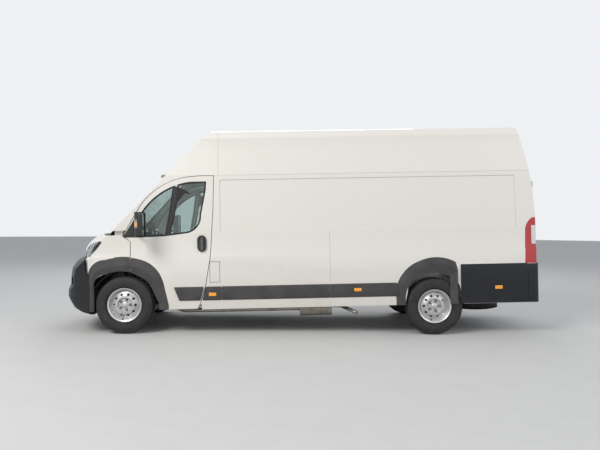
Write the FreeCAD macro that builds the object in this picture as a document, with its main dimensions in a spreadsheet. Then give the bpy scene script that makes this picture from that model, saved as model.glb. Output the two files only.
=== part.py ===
"""A long, high-roofed panel van, as separate body panels, doors, glass, trim, running gear and cab fittings.

Frame: +Z up, the nose points to -X, the left side faces -Y. The origin is on the ground under the middle of
the van. Lengths are millimetres. The body is drawn level and then raked as a whole about the front axle,
because an unladen van of this kind stands nose down.
"""
import FreeCAD
import Part
import Sketcher
import math
import os
from FreeCAD import Placement, Rotation
from FreeCAD import Vector as V

doc = FreeCAD.newDocument("panel_van")
sheet = doc.addObject("Spreadsheet::Sheet", "sizes")

# Driving sizes: alias, value, what it is.
SIZES = [
    ("overall_length", 6363, "bumper to bumper"),
    ("front_overhang", 948, "front wheel centre to the bumper"),
    ("wheelbase", 4035, "front to rear wheel centres"),
    ("rake_angle", 1.5, "nose-down rake of the unladen body, degrees"),
    ("front_track", 1810, "between front tyre centre planes"),
    ("rear_track", 1790, "between rear tyre centre planes"),
    ("flare_half_width", 1025, "half width over the arch flares"),
    ("side_half_width", 1008, "half width of the body side under the shoulder"),
    ("shoulder_step", 12, "how far the side steps in above the shoulder"),
    ("shoulder_height", 1012, "height of the shoulder line"),
    ("sill_height", 295, "underside of the sill"),
    ("seam_height", 2032, "side panel to roof seam"),
    ("seam_half_width", 950, "half width at the roof seam"),
    ("roof_height", 2640, "crown of the roof"),
    ("roof_half_width", 768, "half width of the flat of the roof"),
    ("tail_inset", 36, "rear doors ahead of the rear bumper"),
    ("rear_hinge_offset", 22, "rear door hinge pins behind the tail"),
    ("wall_thickness", 60, "body sides, roof and upper doors"),
    ("door_thickness", 100, "front door below the glass"),
    ("skin_thickness", 12, "front wings, bonnet and flap"),
    ("seam_width", 5, "groove at a fixed panel joint"),
    ("seam_depth", 4, "depth of the groove at a panel joint"),
    ("door_gap", 8, "shut gap round a moving panel"),
    ("hinge_gap", 10, "shut gap at the front doors' hinged edge"),
    ("fit_gap", 0.3, "clearance between fixed pieces that seat on each other"),
    ("swage_depth", 8, "depth of the pressed side panel"),
    ("swage_low", 1285, "lower edge of the pressed side panel"),
    ("swage_high", 1972, "upper edge of the pressed side panel"),
    ("side_seam_x", 437, "upright joint in the body side"),
    ("roof_seam_x", -1000, "joint behind the front cap of the roof"),
    ("nose_radius", 1950, "plan radius of the bumper"),
    ("nose_corner_radius", 350, "plan radius where the nose meets the side"),
    ("screen_slope", 46.8, "slope of windscreen and roof cap, degrees"),
    ("screen_x", -2243, "windscreen centre line at screen_z"),
    ("screen_z", 1657, "height at which screen_x is measured"),
    ("screen_radius", 2600, "plan radius of the windscreen"),
    ("cap_radius", 300, "roof cap to roof"),
    ("cowl_height", 1290, "foot of the windscreen surface"),
    ("bonnet_rear_x", -2520, "rear corners of the bonnet"),
    ("bonnet_rear_bow", 170, "how far the bonnet's rear edge bows forward in the middle"),
    ("front_door_x", -2144, "front shut line of the front doors"),
    ("belt_height", 1240, "lower edge of the door glass"),
    ("floor_height", 420, "top of the load floor"),
    ("floor_thickness", 30, "load floor"),
    ("cab_floor_height", 520, "top of the cab floor"),
    ("bulkhead_x", -1030, "front face of the bulkhead behind the seats"),
    ("member_height", 330, "underside of the floor's cross members"),
    ("tank_bottom", 180, "underside of the fuel tank"),
    ("tank_length", 750, "fuel tank"),
    ("tank_width", 820, "fuel tank"),
    ("engine_bottom", 400, "underside of the engine block"),
    ("engine_length", 450, "engine with gearbox and radiator"),
    ("engine_width", 660, "engine with gearbox and radiator"),
    ("engine_height", 460, "engine with gearbox and radiator"),
    ("arch_radius", 437, "front wheel arch liner"),
    ("tyre_radius", 372, "225/75 R16 tyre"),
    ("tyre_half_width", 111, "half the tyre section"),
    ("rim_radius", 220.5, "over the rim flanges, 16 inch"),
    ("rim_half_width", 86, "half the rim over its flanges"),
    ("wheel_bolt_circle", 130, "five wheel bolts"),
    ("wheel_bolt_radius", 7, "bolt holes of a wheel"),
    ("wheel_vent_radius", 16, "cooling holes of a wheel"),
    ("wheel_vent_circle", 274, "circle of the cooling holes"),
    ("wheel_vent_count", 10, "cooling holes of a wheel"),
    ("spindle_radius", 30, "hub spindle"),
    ("bore_gap", 0.05, "running clearance of a hub on its spindle"),
    ("pin_radius", 5, "door hinge pins"),
    ("pin_gap", 0.3, "clearance of hinge pins and bosses"),
    ("kingpin_y", 835, "steering axis from the middle of the van"),
    ("rail_half_width", 500, "outer face of the chassis rails"),
]
for row, (alias, value, note) in enumerate(SIZES, start=1):
    sheet.set(f"A{row}", alias)
    sheet.set(f"B{row}", str(value))
    sheet.set(f"C{row}", note)
    sheet.setAlias(f"B{row}", alias)
doc.recompute()


def size(alias):
    return float(getattr(sheet, alias))


NOSE_X = -size("overall_length") / 2
REAR_END = size("overall_length") / 2
TAIL_X = REAR_END - size("tail_inset")
FRONT_X = NOSE_X + size("front_overhang")
REAR_X = FRONT_X + size("wheelbase")
AXLE_Z = size("tyre_radius")
GAP = size("fit_gap")
PIN_GAP = size("pin_gap")
SHUT = size("door_gap")
WALL = size("wall_thickness")
SKIN = size("skin_thickness")
SIDE = size("side_half_width")
SEAM_Z = size("seam_height")
SHOULDER = size("shoulder_height")
ROOF_Z = size("roof_height")
SILL_Z = size("sill_height")
FLOOR_Z = size("floor_height")
BELT = size("belt_height")
FAR = 4000.0
RAKE_TAN = math.tan(math.radians(size("rake_angle")))
RAKE = Placement(V(0, 0, 0), Rotation(V(0, 1, 0), -size("rake_angle")), V(FRONT_X, 0, AXLE_Z))


def raked_height(x, height):
    """Height above the ground, at x, of what the level body has at a height."""
    return AXLE_Z + (height - AXLE_Z) / math.cos(math.radians(size("rake_angle"))) + (x - FRONT_X) * RAKE_TAN


# Shapes from outlines. A point is (a, b); a point (c, d, a, b) is reached by an arc through (c, d).
def outline(points, place):
    ends = [place(p[-2], p[-1]) for p in points]
    edges = []
    for i, start in enumerate(ends):
        target = points[(i + 1) % len(points)]
        end = ends[(i + 1) % len(points)]
        if len(target) == 4:
            edges.append(Part.Arc(start, place(target[0], target[1]), end).toShape())
        else:
            edges.append(Part.makeLine(start, end))
    return Part.Face(Part.Wire(edges))


def side_face(points, y=0.0):
    return outline(points, lambda x, z: V(x, y, z))


def side_prism(points, y0, y1):
    return side_face(points, y0).extrude(V(0, y1 - y0, 0))


def cross_prism(points, x0, x1):
    return outline(points, lambda y, z: V(x0, y, z)).extrude(V(x1 - x0, 0, 0))


def plan_prism(points, z0, z1):
    return outline(points, lambda x, y: V(x, y, z0)).extrude(V(0, 0, z1 - z0))


def box(x0, x1, y0, y1, z0, z1):
    return Part.makeBox(x1 - x0, y1 - y0, z1 - z0, V(x0, y0, z0))


def rod(start, end, radius):
    axis = V(*end) - V(*start)
    return Part.makeCylinder(radius, axis.Length, V(*start), axis)


def tube(start, end, radius, bore):
    return rod(start, end, radius).cut(rod(start, end, bore))


def pipe(points, radius, bend):
    """A round bar along straight runs joined by arcs of one bend radius."""
    corners = [V(*p) for p in points]
    edges = []
    at = corners[0]
    for before, corner, after in zip(corners, corners[1:], corners[2:]):
        into = (corner - before).normalize()
        out = (after - corner).normalize()
        turn = into.getAngle(out)
        cut = bend * math.tan(turn / 2)
        start = corner - into * cut
        end = corner + out * cut
        middle = corner + (out - into).normalize() * (bend / math.cos(turn / 2) - bend)
        edges.append(Part.makeLine(at, start))
        edges.append(Part.Arc(start, middle, end).toShape())
        at = end
    edges.append(Part.makeLine(at, corners[-1]))
    path = Part.Wire(edges)
    circle = Part.Wire([Part.makeCircle(radius, corners[0], corners[1] - corners[0])])
    return path.makePipeShell([circle], True, False)


def mirrored(shape):
    return shape.mirror(V(0, 0, 0), V(0, 1, 0))


def both(shape):
    return Part.makeCompound([shape, mirrored(shape)])


def join(shapes):
    first, rest = shapes[0], shapes[1:]
    return first.multiFuse(rest).removeSplitter() if rest else first


def inset(face, depth):
    return face.makeOffset2D(-depth) if depth else face


# The outer form of the body, and the same form set in by a wall.
def half_section():
    seam = size("seam_half_width")
    flat = size("roof_half_width")
    return [
        (SIDE - 23, 200),
        (SIDE - 5, 330),
        (SIDE, 700),
        (SIDE, SHOULDER - 27),
        (SIDE - size("shoulder_step"), SHOULDER + 18),
        (SIDE - size("shoulder_step") - 4, 1285),
        (seam, SEAM_Z),
        (seam - 45, SEAM_Z + 293),
        (seam - 64, ROOF_Z - 150),
        (seam - 92, ROOF_Z - 55, flat, ROOF_Z - 15),
    ]


def full_section():
    half = half_section()
    corner = half[-1]
    crown = (0, ROOF_Z, -corner[2], corner[3])
    down = [(-corner[0], corner[1], -half[-2][0], half[-2][1])]
    down += [(-y, z) for y, z in reversed(half[:-2])]
    return half + [crown] + down


NOSE_AXIS = NOSE_X + size("nose_radius")
SCREEN_AXIS = size("screen_x") + size("screen_radius")
SCREEN_TAN = math.tan(math.radians(size("screen_slope")))


def screen_at(height):
    """Where the windscreen's centre line is at a height."""
    return size("screen_x") + (height - size("screen_z")) / SCREEN_TAN


def bonnet_outline():
    return [
        (NOSE_AXIS + 200, 200),
        (NOSE_X + 181, 200),
        (NOSE_X + 181, 960),
        (NOSE_X + 223, 1000),
        (NOSE_X + 227, 1066),
        (NOSE_X + 288, 1180, NOSE_X + 467, 1290),
        (NOSE_X + 651, 1342),
        (NOSE_X + 981, 1435),
        (NOSE_AXIS + 200, 1435),
    ]


def screen_outline():
    slope = math.radians(size("screen_slope"))
    radius = size("cap_radius")
    top = ROOF_Z + 1
    reach = radius * math.tan(slope / 2)
    corner = screen_at(top)
    foot = screen_at(size("cowl_height"))
    return [
        (SCREEN_AXIS + 200, 200),
        (foot, 200),
        (foot, size("cowl_height")),
        (corner - reach * math.cos(slope), top - reach * math.sin(slope)),
        (
            corner + reach - radius * math.sin(slope / 2),
            top - radius + radius * math.cos(slope / 2),
            corner + reach,
            top,
        ),
        (SCREEN_AXIS + 200, top),
    ]


def swept_front(points, axis_x, depth):
    """A side outline turned about an upright axis behind it, and carried straight back from that axis."""
    ahead = side_face([(axis_x - FAR, -500), (axis_x, -500), (axis_x, FAR), (axis_x - FAR, FAR)])
    half = inset(side_face(points), depth).common(ahead)
    top = half.BoundBox.ZMax
    bottom = half.BoundBox.ZMin
    half.rotate(V(axis_x, 0, 0), V(0, 0, 1), -90)
    front = half.revolve(V(axis_x, 0, 0), V(0, 0, 1), 180)
    return front.fuse(box(axis_x, TAIL_X + 200, -1300, 1300, bottom, top))


def tail_outline():
    return [
        (NOSE_X - 200, 200),
        (TAIL_X, 200),
        (TAIL_X, 1400),
        (TAIL_X - 39, 1907, TAIL_X - 186, 2600),
        (TAIL_X - 206, 2700),
        (NOSE_X - 200, 2700),
    ]


def corner_cutter(sign, depth, half_width):
    """What lies outside the rounded front corner, seen in plan."""
    radius = size("nose_corner_radius")
    centre_y = half_width - radius
    centre_x = NOSE_AXIS - math.sqrt((size("nose_radius") - radius) ** 2 - centre_y ** 2)
    angle = math.atan2(centre_y, centre_x - NOSE_AXIS)
    reach = radius - depth
    middle = (angle + math.pi / 2) / 2
    start = (centre_x, centre_y + reach)
    via = (centre_x + reach * math.cos(middle), centre_y + reach * math.sin(middle))
    end = (centre_x + reach * math.cos(angle), centre_y + reach * math.sin(angle))
    points = [start, via + end, (NOSE_X - 200, 600), (NOSE_X - 200, 1300), (centre_x, 1300)]
    return plan_prism([tuple(v * (sign if i % 2 else 1) for i, v in enumerate(p)) for p in points], 0, 3000)


def body_form(depth):
    section = inset(outline(full_section(), lambda y, z: V(NOSE_X - 200, y, z)), depth)
    form = section.extrude(V(TAIL_X - NOSE_X + 400, 0, 0))
    front = swept_front(bonnet_outline(), NOSE_AXIS, depth).fuse(
        swept_front(screen_outline(), SCREEN_AXIS, depth)
    )
    tail = inset(side_face(tail_outline(), -1300), depth).extrude(V(0, 2600, 0))
    form = form.common(front).common(tail)
    for sign in (-1, 1):
        form = form.cut(corner_cutter(sign, depth, SIDE))
    return form


OUTER = body_form(0)
GROOVE = OUTER.cut(body_form(size("seam_depth")))
SKIN_SHELL = OUTER.cut(body_form(SKIN))
WALL_SHELL = OUTER.cut(body_form(WALL))
DOOR_SHELL = OUTER.cut(body_form(size("door_thickness")))

# Outlines seen from the side, shared by a panel and what fits in it.
FRONT_SHUT = size("front_door_x")


def arch_outline(centre, points, low=-200.0):
    return [(centre + points[0][0], low)] + [tuple(
        v + centre if i % 2 == 0 else v for i, v in enumerate(p)) for p in points] + [(centre + points[-1][-2], low)]


# Wheel arch mouths, from the wheel centre, front to rear.
FRONT_MOUTH = [(-412, 300), (-400, 555), (-360, 710, -272, 763), (-60, 815, 210, 738), (336, 638), (444, 475), (500, 300)]
REAR_MOUTH = [(-390, 300), (-354, 489), (-290, 640, -61, 692), (70, 694), (200, 670, 342, 474), (386, 300)]
REAR_LEVEL_X = FRONT_X + size("wheelbase") * math.cos(math.radians(size("rake_angle")))


def door_outline(inset_by):
    """The front door from the side; inset_by draws the edge inside (positive) or outside the shut line."""
    g = inset_by
    front = FRONT_SHUT + g * size("hinge_gap") / size("door_gap")
    rear = FRONT_X + 1175
    return [
        (front, 1195),
        (front - 85, 1252 + g),
        (front - 72, 1303),
        (FRONT_SHUT + 130 + g, 1649 - g),
        (FRONT_SHUT + 392, 1895 - g, FRONT_X + 807, 2014 - g),
        (FRONT_X + 1000, SEAM_Z - 2 - g),
        (rear - g, SEAM_Z - 4 - g),
        (rear - 14 - g, 1597),
        (rear - 54 - g, 990),
        (rear - 121 - g, 606),
        (rear - 190 - g, 380),
        (rear - 230 - g, SILL_Z + 5 + g),
        (FRONT_X + 500 + g, SILL_Z + 5 + g),
        (FRONT_X + 450 + g, 475),
        (FRONT_X + 345 + g, 638),
        (FRONT_X + 215 + g, 745, front, 800 + g),
    ]


def window_outline(grow):
    g = grow
    return [
        (FRONT_X + 138 - g, BELT - g),
        (FRONT_X + 536, BELT + 10 - g),
        (FRONT_X + 796 + g, 1281 - g),
        (FRONT_X + 925 + g, 1330, FRONT_X + 1007 + g, 1517),
        (FRONT_X + 1071 + g, 1841),
        (FRONT_X + 1078 + g, 1955 + g),
        (FRONT_X + 872, 1954 + g),
        (FRONT_X + 540, 1850 + g, FRONT_X + 220 - g, 1545 + g),
    ]


def across(points):
    return side_prism(points, -1300, 1300)


def left_of(shape):
    return shape.common(box(-FAR, FAR, -1300, -1, -FAR, FAR))


def right_of(shape):
    return shape.common(box(-FAR, FAR, 1, 1300, -FAR, FAR))


DOOR_HOLE = across(door_outline(-SHUT / 2))
DOOR_BODY = across(door_outline(SHUT / 2))
ARCHES = join([
    across(arch_outline(FRONT_X, FRONT_MOUTH)),
    across(arch_outline(REAR_LEVEL_X, REAR_MOUTH)),
])
ABOVE_SILL = box(-FAR, FAR, -1300, 1300, SILL_Z, FAR)
pieces = {}

# Rear door outline, seen from behind: half width and height.
REAR_DOOR = [(838, FLOOR_Z - 20), (838, 1285), (815, SEAM_Z), (790, SEAM_Z + 293), (775, ROOF_Z - 205)]


def rear_door_region(y0, y1, grow):
    """What lies in the rear doors' outline between two widths, through the tail wall."""
    low, high = REAR_DOOR[0], REAR_DOOR[-1]
    half = [(y + grow, z) for y, z in REAR_DOOR]
    half[0] = (low[0] + grow, low[1] - grow)
    half[-1] = (high[0] + grow, high[1] + grow)
    points = half + [(-y, z) for y, z in reversed(half)]
    return cross_prism(points, TAIL_X - 340, TAIL_X + 40).common(box(-FAR, FAR, y0, y1, 0, FAR))


LAMP_DEPTH = 40.0
LAMP_REGION = side_prism([
    (TAIL_X - 150, 813), (TAIL_X + 10, 811), (TAIL_X + 10, 1411), (TAIL_X - 32, 1411),
    (TAIL_X - 106, 1346, TAIL_X - 139, 1241)], -1300, 1300)

# Body sides. The wall runs from the front door's shut line to the tail.
SIDE_SEAM = size("side_seam_x")
SLIDE_FRONT = -868.0
SLIDE_EDGE = 60.0
sides = WALL_SHELL.common(ABOVE_SILL).common(box(-FAR, FAR, -1300, 1300, 0, SEAM_Z))
sides = sides.common(box(FRONT_X + 560, TAIL_X + 10, -1300, 1300, 0, FAR)).cut(DOOR_HOLE).cut(ARCHES)
POST_TOP_X = FRONT_X + 1100
sides = sides.cut(box(-FAR, FRONT_X + 1000, -1300, 1300, 0, 360)).cut(rear_door_region(-1200, 1200, SHUT / 2))
sides = sides.cut(box(-FAR, POST_TOP_X + GAP, -1300, 1300, 1900, FAR))
sides = sides.cut(box(TAIL_X - WALL - 1, TAIL_X + 10, -838, 838, 0, FLOOR_Z))
sides = sides.cut(OUTER.cut(body_form(LAMP_DEPTH + GAP)).common(LAMP_REGION))
LOW, HIGH = size("swage_low"), size("swage_high")
SWAGE_FRONT, SWAGE_REAR, SWAGE_ROUND = -985.0, 2893.0, 30.0
bend = SWAGE_ROUND * (1 - math.sqrt(0.5))
swage_region = across([
    (SWAGE_FRONT, LOW + SWAGE_ROUND),
    (SWAGE_FRONT + bend, LOW + bend, SWAGE_FRONT + SWAGE_ROUND, LOW),
    (SWAGE_REAR - SWAGE_ROUND, LOW),
    (SWAGE_REAR - bend, LOW + bend, SWAGE_REAR, LOW + SWAGE_ROUND),
    (SWAGE_REAR, HIGH - SWAGE_ROUND),
    (SWAGE_REAR - bend, HIGH - bend, SWAGE_REAR - SWAGE_ROUND, HIGH),
    (SWAGE_FRONT + SWAGE_ROUND, HIGH),
    (SWAGE_FRONT + bend, HIGH - bend, SWAGE_FRONT, HIGH - SWAGE_ROUND),
])
sides = sides.cut(OUTER.cut(body_form(size("swage_depth"))).common(swage_region))


def seam_groove_x(x, z0, z1):
    half = size("seam_width") / 2
    return GROOVE.common(box(x - half, x + half, -1300, 1300, z0, z1))


def seam_groove_z(z, x0, x1):
    half = size("seam_width") / 2
    return GROOVE.common(box(x0, x1, -1300, 1300, z - half, z + half))


def span(shape, x0, x1):
    return shape.common(box(x0, x1, -1300, 1300, -FAR, FAR))


sides = sides.cut(seam_groove_x(SIDE_SEAM, SILL_Z, SEAM_Z)).cut(seam_groove_z(SEAM_Z, -FAR, FAR))
FLAP = (FRONT_X + 1113, FRONT_X + 1235, 647, 909)
flap_gap = 5.5
flap_hole = box(FLAP[0] - flap_gap, FLAP[1] + flap_gap, -1100, -SIDE + 40, FLAP[2] - flap_gap, FLAP[3] + flap_gap)
left_front = span(left_of(sides), FRONT_X + 560, SIDE_SEAM - GAP / 2).cut(flap_hole)
neck = rod((FRONT_X + 1160, -SIDE + 41, 778), (FRONT_X + 1160, -SIDE + 22, 778), 28)
FLAP_HINGE = (FLAP[1] - 20, -SIDE + 3.5)
FLAP_PIN = 1.5
flap_pins = [
    rod(FLAP_HINGE + (FLAP[2] - flap_gap - 10,), FLAP_HINGE + (FLAP[2] + 15,), FLAP_PIN),
    rod(FLAP_HINGE + (FLAP[3] - 15,), FLAP_HINGE + (FLAP[3] + flap_gap + 10,), FLAP_PIN),
]
pieces["side_front_left"] = left_front.multiFuse([neck] + flap_pins)
flap = OUTER.cut(body_form(8)).common(box(FLAP[0], FLAP[1], -1300, 0, FLAP[2], FLAP[3]))
pieces["fuel_flap"] = flap.cut(rod(
    FLAP_HINGE + (FLAP[2] - 1,), FLAP_HINGE + (FLAP[3] + 1,), FLAP_PIN + PIN_GAP))
pieces["side_rear_left"] = span(left_of(sides), SIDE_SEAM + GAP / 2, TAIL_X + 10)
pieces["side_rear_right"] = span(right_of(sides), SIDE_SEAM + GAP / 2, TAIL_X + 10)
right_front = span(right_of(sides), FRONT_X + 560, SIDE_SEAM - GAP / 2)
slide_hole = box(SLIDE_FRONT, SIDE_SEAM, -1300, 1300, SILL_Z + SLIDE_EDGE, SEAM_Z - SLIDE_EDGE)
slide_fill = box(
    SLIDE_FRONT + GAP, SIDE_SEAM, -1300, 1300, SILL_Z + SLIDE_EDGE + GAP, SEAM_Z - SLIDE_EDGE - GAP
)
slide_line = GROOVE.common(box(SLIDE_FRONT, SLIDE_FRONT + 6, -1300, 1300, 0, FAR))
slide_line = slide_line.fuse(GROOVE.common(box(SLIDE_FRONT, SIDE_SEAM, -1300, 1300, SEAM_Z - 66, SEAM_Z - 60)))
slide_line = slide_line.fuse(GROOVE.common(box(SLIDE_FRONT, SIDE_SEAM, -1300, 1300, SILL_Z + 60, SILL_Z + 66)))
pieces["sliding_door"] = right_front.common(slide_fill).cut(slide_line)
pieces["side_front_right"] = right_front.cut(slide_hole)

# Roof.
RACK_X = (-700.0, 700.0, 2100.0)
RACK_Y = 730.0
RACK_TOP = ROOF_Z - 13.5
RACK_DEPTH = 30.0
RACK_HOLE = 4.0
ROOF_SEAM = size("roof_seam_x")
roof = WALL_SHELL.common(box(-FAR, FAR, -1300, 1300, SEAM_Z + GAP, FAR))
roof = roof.cut(seam_groove_x(ROOF_SEAM, SEAM_Z, ROOF_Z)).cut(DOOR_HOLE)
roof = roof.cut(rear_door_region(-1200, 1200, SHUT / 2))
pieces["roof_front"] = span(roof, -FAR, ROOF_SEAM - GAP / 2)
rear_roof = span(roof, ROOF_SEAM + GAP / 2, TAIL_X + 10)
CROWN = 15.0
RIB_DEPTH = 6.0
for rib in (-600, -360, -120, 120, 360, 600):
    low = ROOF_Z - CROWN * (rib / size("roof_half_width")) ** 2 - RIB_DEPTH
    rear_roof = rear_roof.cut(box(ROOF_SEAM + 150, TAIL_X - 450, rib - 25, rib + 25, low, FAR))
for x in RACK_X:
    for y in (-RACK_Y, RACK_Y):
        rear_roof = rear_roof.cut(rod((x, y, RACK_TOP - RACK_DEPTH), (x, y, RACK_TOP + 30), RACK_HOLE))
pieces["roof_rear"] = rear_roof

# Rear doors, with hinges on the corner posts.
REAR_HINGE = (TAIL_X + size("rear_hinge_offset"), -845.0)
REAR_HINGE_HEIGHTS = (700.0, 1290.0, 1850.0)
PIN = size("pin_radius") + 2
LEAF = 3.0


def tail_at(height):
    """Rearmost point of the tail at a height, from its own arc of three points."""
    start, middle, end = (TAIL_X, 1400), (TAIL_X - 39, 1907), (TAIL_X - 186, 2600)
    if height < start[1]:
        return TAIL_X
    arc = Part.Arc(V(start[0], 0, start[1]), V(middle[0], 0, middle[1]), V(end[0], 0, end[1]))
    cutter = Part.makeLine(V(TAIL_X - 400, 0, height), V(TAIL_X + 100, 0, height))
    return arc.toShape().distToShape(cutter)[1][0][0].x


def rear_door_half(height):
    """Half width of the rear doors at a height."""
    for (low_y, low_z), (high_y, high_z) in zip(REAR_DOOR, REAR_DOOR[1:]):
        if height <= high_z:
            return low_y + (high_y - low_y) * (height - low_z) / (high_z - low_z)
    return REAR_DOOR[-1][0]


rear_doors = WALL_SHELL.common(rear_door_region(-1200, 1200, -SHUT / 2))
MEETING_REBATE = 14.0
left_rear = rear_doors.common(box(-FAR, FAR, -1200, -SHUT / 2, 0, FAR))
left_rear = left_rear.cut(body_form(SKIN).common(box(-FAR, FAR, -SHUT / 2 - MEETING_REBATE, 0, 0, FAR)))
post_lugs = []
door_lugs = []
post_room = []
for height in REAR_HINGE_HEIGHTS:
    x, y = REAR_HINGE
    face = tail_at(height)
    pin = rod((x, y, height - 45), (x, y, height + 45), PIN)
    for low in (height - 45, height + 18):
        lug = rod((x, y, low), (x, y, low + 27), PIN + 7)
        arm = box(face - 30, x, y - PIN - 7, y - 2, low, low + 27)
        post_lugs += [lug, arm]
    post_lugs.append(pin)
    knuckle = tube((x, y, height - 17), (x, y, height + 17), PIN + 7, PIN + PIN_GAP)
    edge = rear_door_half(height) - SHUT / 2 - 2
    proud = tail_at(height - 17)
    leaf = box(face - 30, proud + LEAF, -edge, -edge + 62, height - 17, height + 17)
    link = box(proud + 1, x, y, -edge + 10, height - 17, height + 17).cut(
        rod((x, y, height - 20), (x, y, height + 20), PIN + PIN_GAP))
    door_lugs += [knuckle, leaf, link]
    post_room.append(rod((x, y, height - 18), (x, y, height + 18), PIN + 8))
left_post = pieces["side_rear_left"].cut(join(post_room)).multiFuse(post_lugs)
pieces["side_rear_left"] = left_post
pieces["side_rear_right"] = mirrored(left_post)
pieces["rear_door_left"] = left_rear.multiFuse(door_lugs)
pieces["rear_door_right"] = mirrored(pieces["rear_door_left"])

# Tail lamps in the corner posts.
lamp = OUTER.cut(body_form(LAMP_DEPTH)).common(across([
    (TAIL_X - 149, 814), (TAIL_X + 10, 812), (TAIL_X + 10, 1410), (TAIL_X - 33, 1410),
    (TAIL_X - 106, 1345, TAIL_X - 138, 1241)]))
lamp = lamp.cut(rear_door_region(-1200, 1200, SHUT / 2 + 4))
pieces["tail_lamps"] = lamp.common(box(-FAR, FAR, -1300, -847, 0, FAR)).cut(
    box(TAIL_X - 400, TAIL_X + 20, -880, -800, 0, FAR))
pieces["tail_lamps"] = both(pieces["tail_lamps"])

# Windscreen and the frame around it.
GLASS_EDGE = 825.0
GLASS_TAPER = 55.0
SCREEN_FOOT = size("cowl_height") + 55
SCREEN_HEAD = SEAM_Z + 38


def screen_region(g):
    return cross_prism([
        (-GLASS_EDGE - g, SCREEN_FOOT - g), (GLASS_EDGE + g, SCREEN_FOOT - g),
        (GLASS_EDGE - GLASS_TAPER + g, SCREEN_HEAD + g), (-GLASS_EDGE + GLASS_TAPER - g, SCREEN_HEAD + g),
    ], -FAR, FRONT_X + 900)


pieces["windscreen"] = body_form(3).cut(body_form(9)).common(screen_region(-1))
pieces["roof_front"] = pieces["roof_front"].cut(screen_region(0))
BONNET_BACK = size("bonnet_rear_x")
BONNET_CREST = BONNET_BACK - size("bonnet_rear_bow")
frame = WALL_SHELL.common(box(BONNET_BACK + 14, POST_TOP_X, -1300, 1300, 1150, SEAM_Z - GAP))
wing_line = across([
    (FRONT_SHUT - 600, 900), (FRONT_SHUT - 600, 1240), (FRONT_SHUT - 118, 1275), (FRONT_SHUT - 60, 1240),
    (FRONT_SHUT + 300, 1240), (FRONT_SHUT + 300, 900)])
frame = frame.cut(screen_region(0)).cut(DOOR_HOLE).cut(wing_line)
frame = frame.cut(box(FRONT_SHUT - 700, FRONT_SHUT + 20, -FAR, FAR, 900, SCREEN_FOOT - 12).common(
    box(-FAR, screen_at(SCREEN_FOOT) + 420, -FAR, FAR, 0, FAR)))
ARCH_R = size("arch_radius")
WELL_Y = size("rail_half_width") + 60
POST_BACK = FRONT_SHUT - 6
post = box(FRONT_SHUT - 80, POST_BACK, -SIDE + 33, -880, 815, 1185)
foot = box(FRONT_SHUT - 210, FRONT_SHUT - 106, -945, -860, 1228, 1340)
FRONT_HINGE = (FRONT_SHUT + size("hinge_gap") / 2 + 60, -(SIDE - 24))
FRONT_HINGE_HEIGHTS = (880.0, 1130.0)
arms = []
for height in FRONT_HINGE_HEIGHTS:
    x, y = FRONT_HINGE
    arms += [
        rod((x, y, height - 38), (x, y, height + 38), size("pin_radius")),
        box(x - 5, x + 5, y, y + 66, height - 20, height + 20),
        box(POST_BACK - 2, x + 5, y + 56, y + 66, height - 20, height + 20),
        box(POST_BACK - 30, POST_BACK, y + 10, y + 66, height - 20, height + 20),
    ]
posts = join([post, foot] + arms)
firewall = box(FRONT_SHUT - 56, FRONT_SHUT - 44, -880, 880, 540, 1228)
firewall = firewall.cut(both(rod((FRONT_X, -WELL_Y - 340, AXLE_Z), (FRONT_X, -WELL_Y, AXLE_Z), ARCH_R + 6)))
header = box(FRONT_SHUT - 250, FRONT_SHUT - 44, -880, 880, 1228, 1240)
parts = [frame, firewall, header, posts, mirrored(posts)]
pieces["cab_frame"] = parts[0].multiFuse(parts[1:])

# Bonnet, wings and headlamps.
BONNET_HALF = 790.0
BONNET_LOW = 1008.0
LAMP = [
    (-2752, 987), (-2656, 1016), (-2577, 1095), (-2508, 1184), (-2528, 1203), (-2655, 1178),
    (-2740, 1145), (-2800, 1060), (-2806, 1004)]
lamp_hole = across(LAMP).cut(box(-FAR, FAR, -560, 560, 0, FAR))


def bonnet_region(grow):
    """The bonnet from above, with its bowed rear edge; grow moves the edges outwards."""
    half = BONNET_HALF + grow
    return plan_prism([
        (NOSE_X - 100, -640 - grow), (-2740, 30 - half), (BONNET_BACK + grow, -half),
        (BONNET_CREST + grow, 0, BONNET_BACK + grow, half), (-2740, half - 30), (NOSE_X - 100, 640 + grow),
    ], BONNET_LOW - grow, FAR)


cover = SKIN_SHELL.common(box(-FAR, FRONT_SHUT - SHUT / 2, -1300, 1300, 700, FAR))
bonnet = cover.common(bonnet_region(0)).cut(lamp_hole)
wing_region = across([
    (-2744, 972), (-2719, 827), (-2627.7, 720), (-2627.7, 300), (FRONT_SHUT - SHUT / 2, 300),
    (FRONT_SHUT - SHUT / 2, 1195), (FRONT_SHUT - 89, 1248), (FRONT_SHUT - 117, 1275 - GAP),
    (FRONT_SHUT - 600, 1270), (-2744, 1210)])
inner_wing = box(-2740, FRONT_SHUT, -BONNET_HALF - SHUT, BONNET_HALF + SHUT, BONNET_LOW - SHUT, FAR)
bonnet_clear = bonnet_region(SHUT).fuse(inner_wing)
wings = cover.common(wing_region).cut(bonnet_clear).cut(ARCHES).cut(lamp_hole)
pieces["front_wings"] = wings
lamps = body_form(1).cut(body_form(100)).common(lamp_hole).cut(bonnet_clear)
pieces["headlamps"] = lamps

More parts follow.
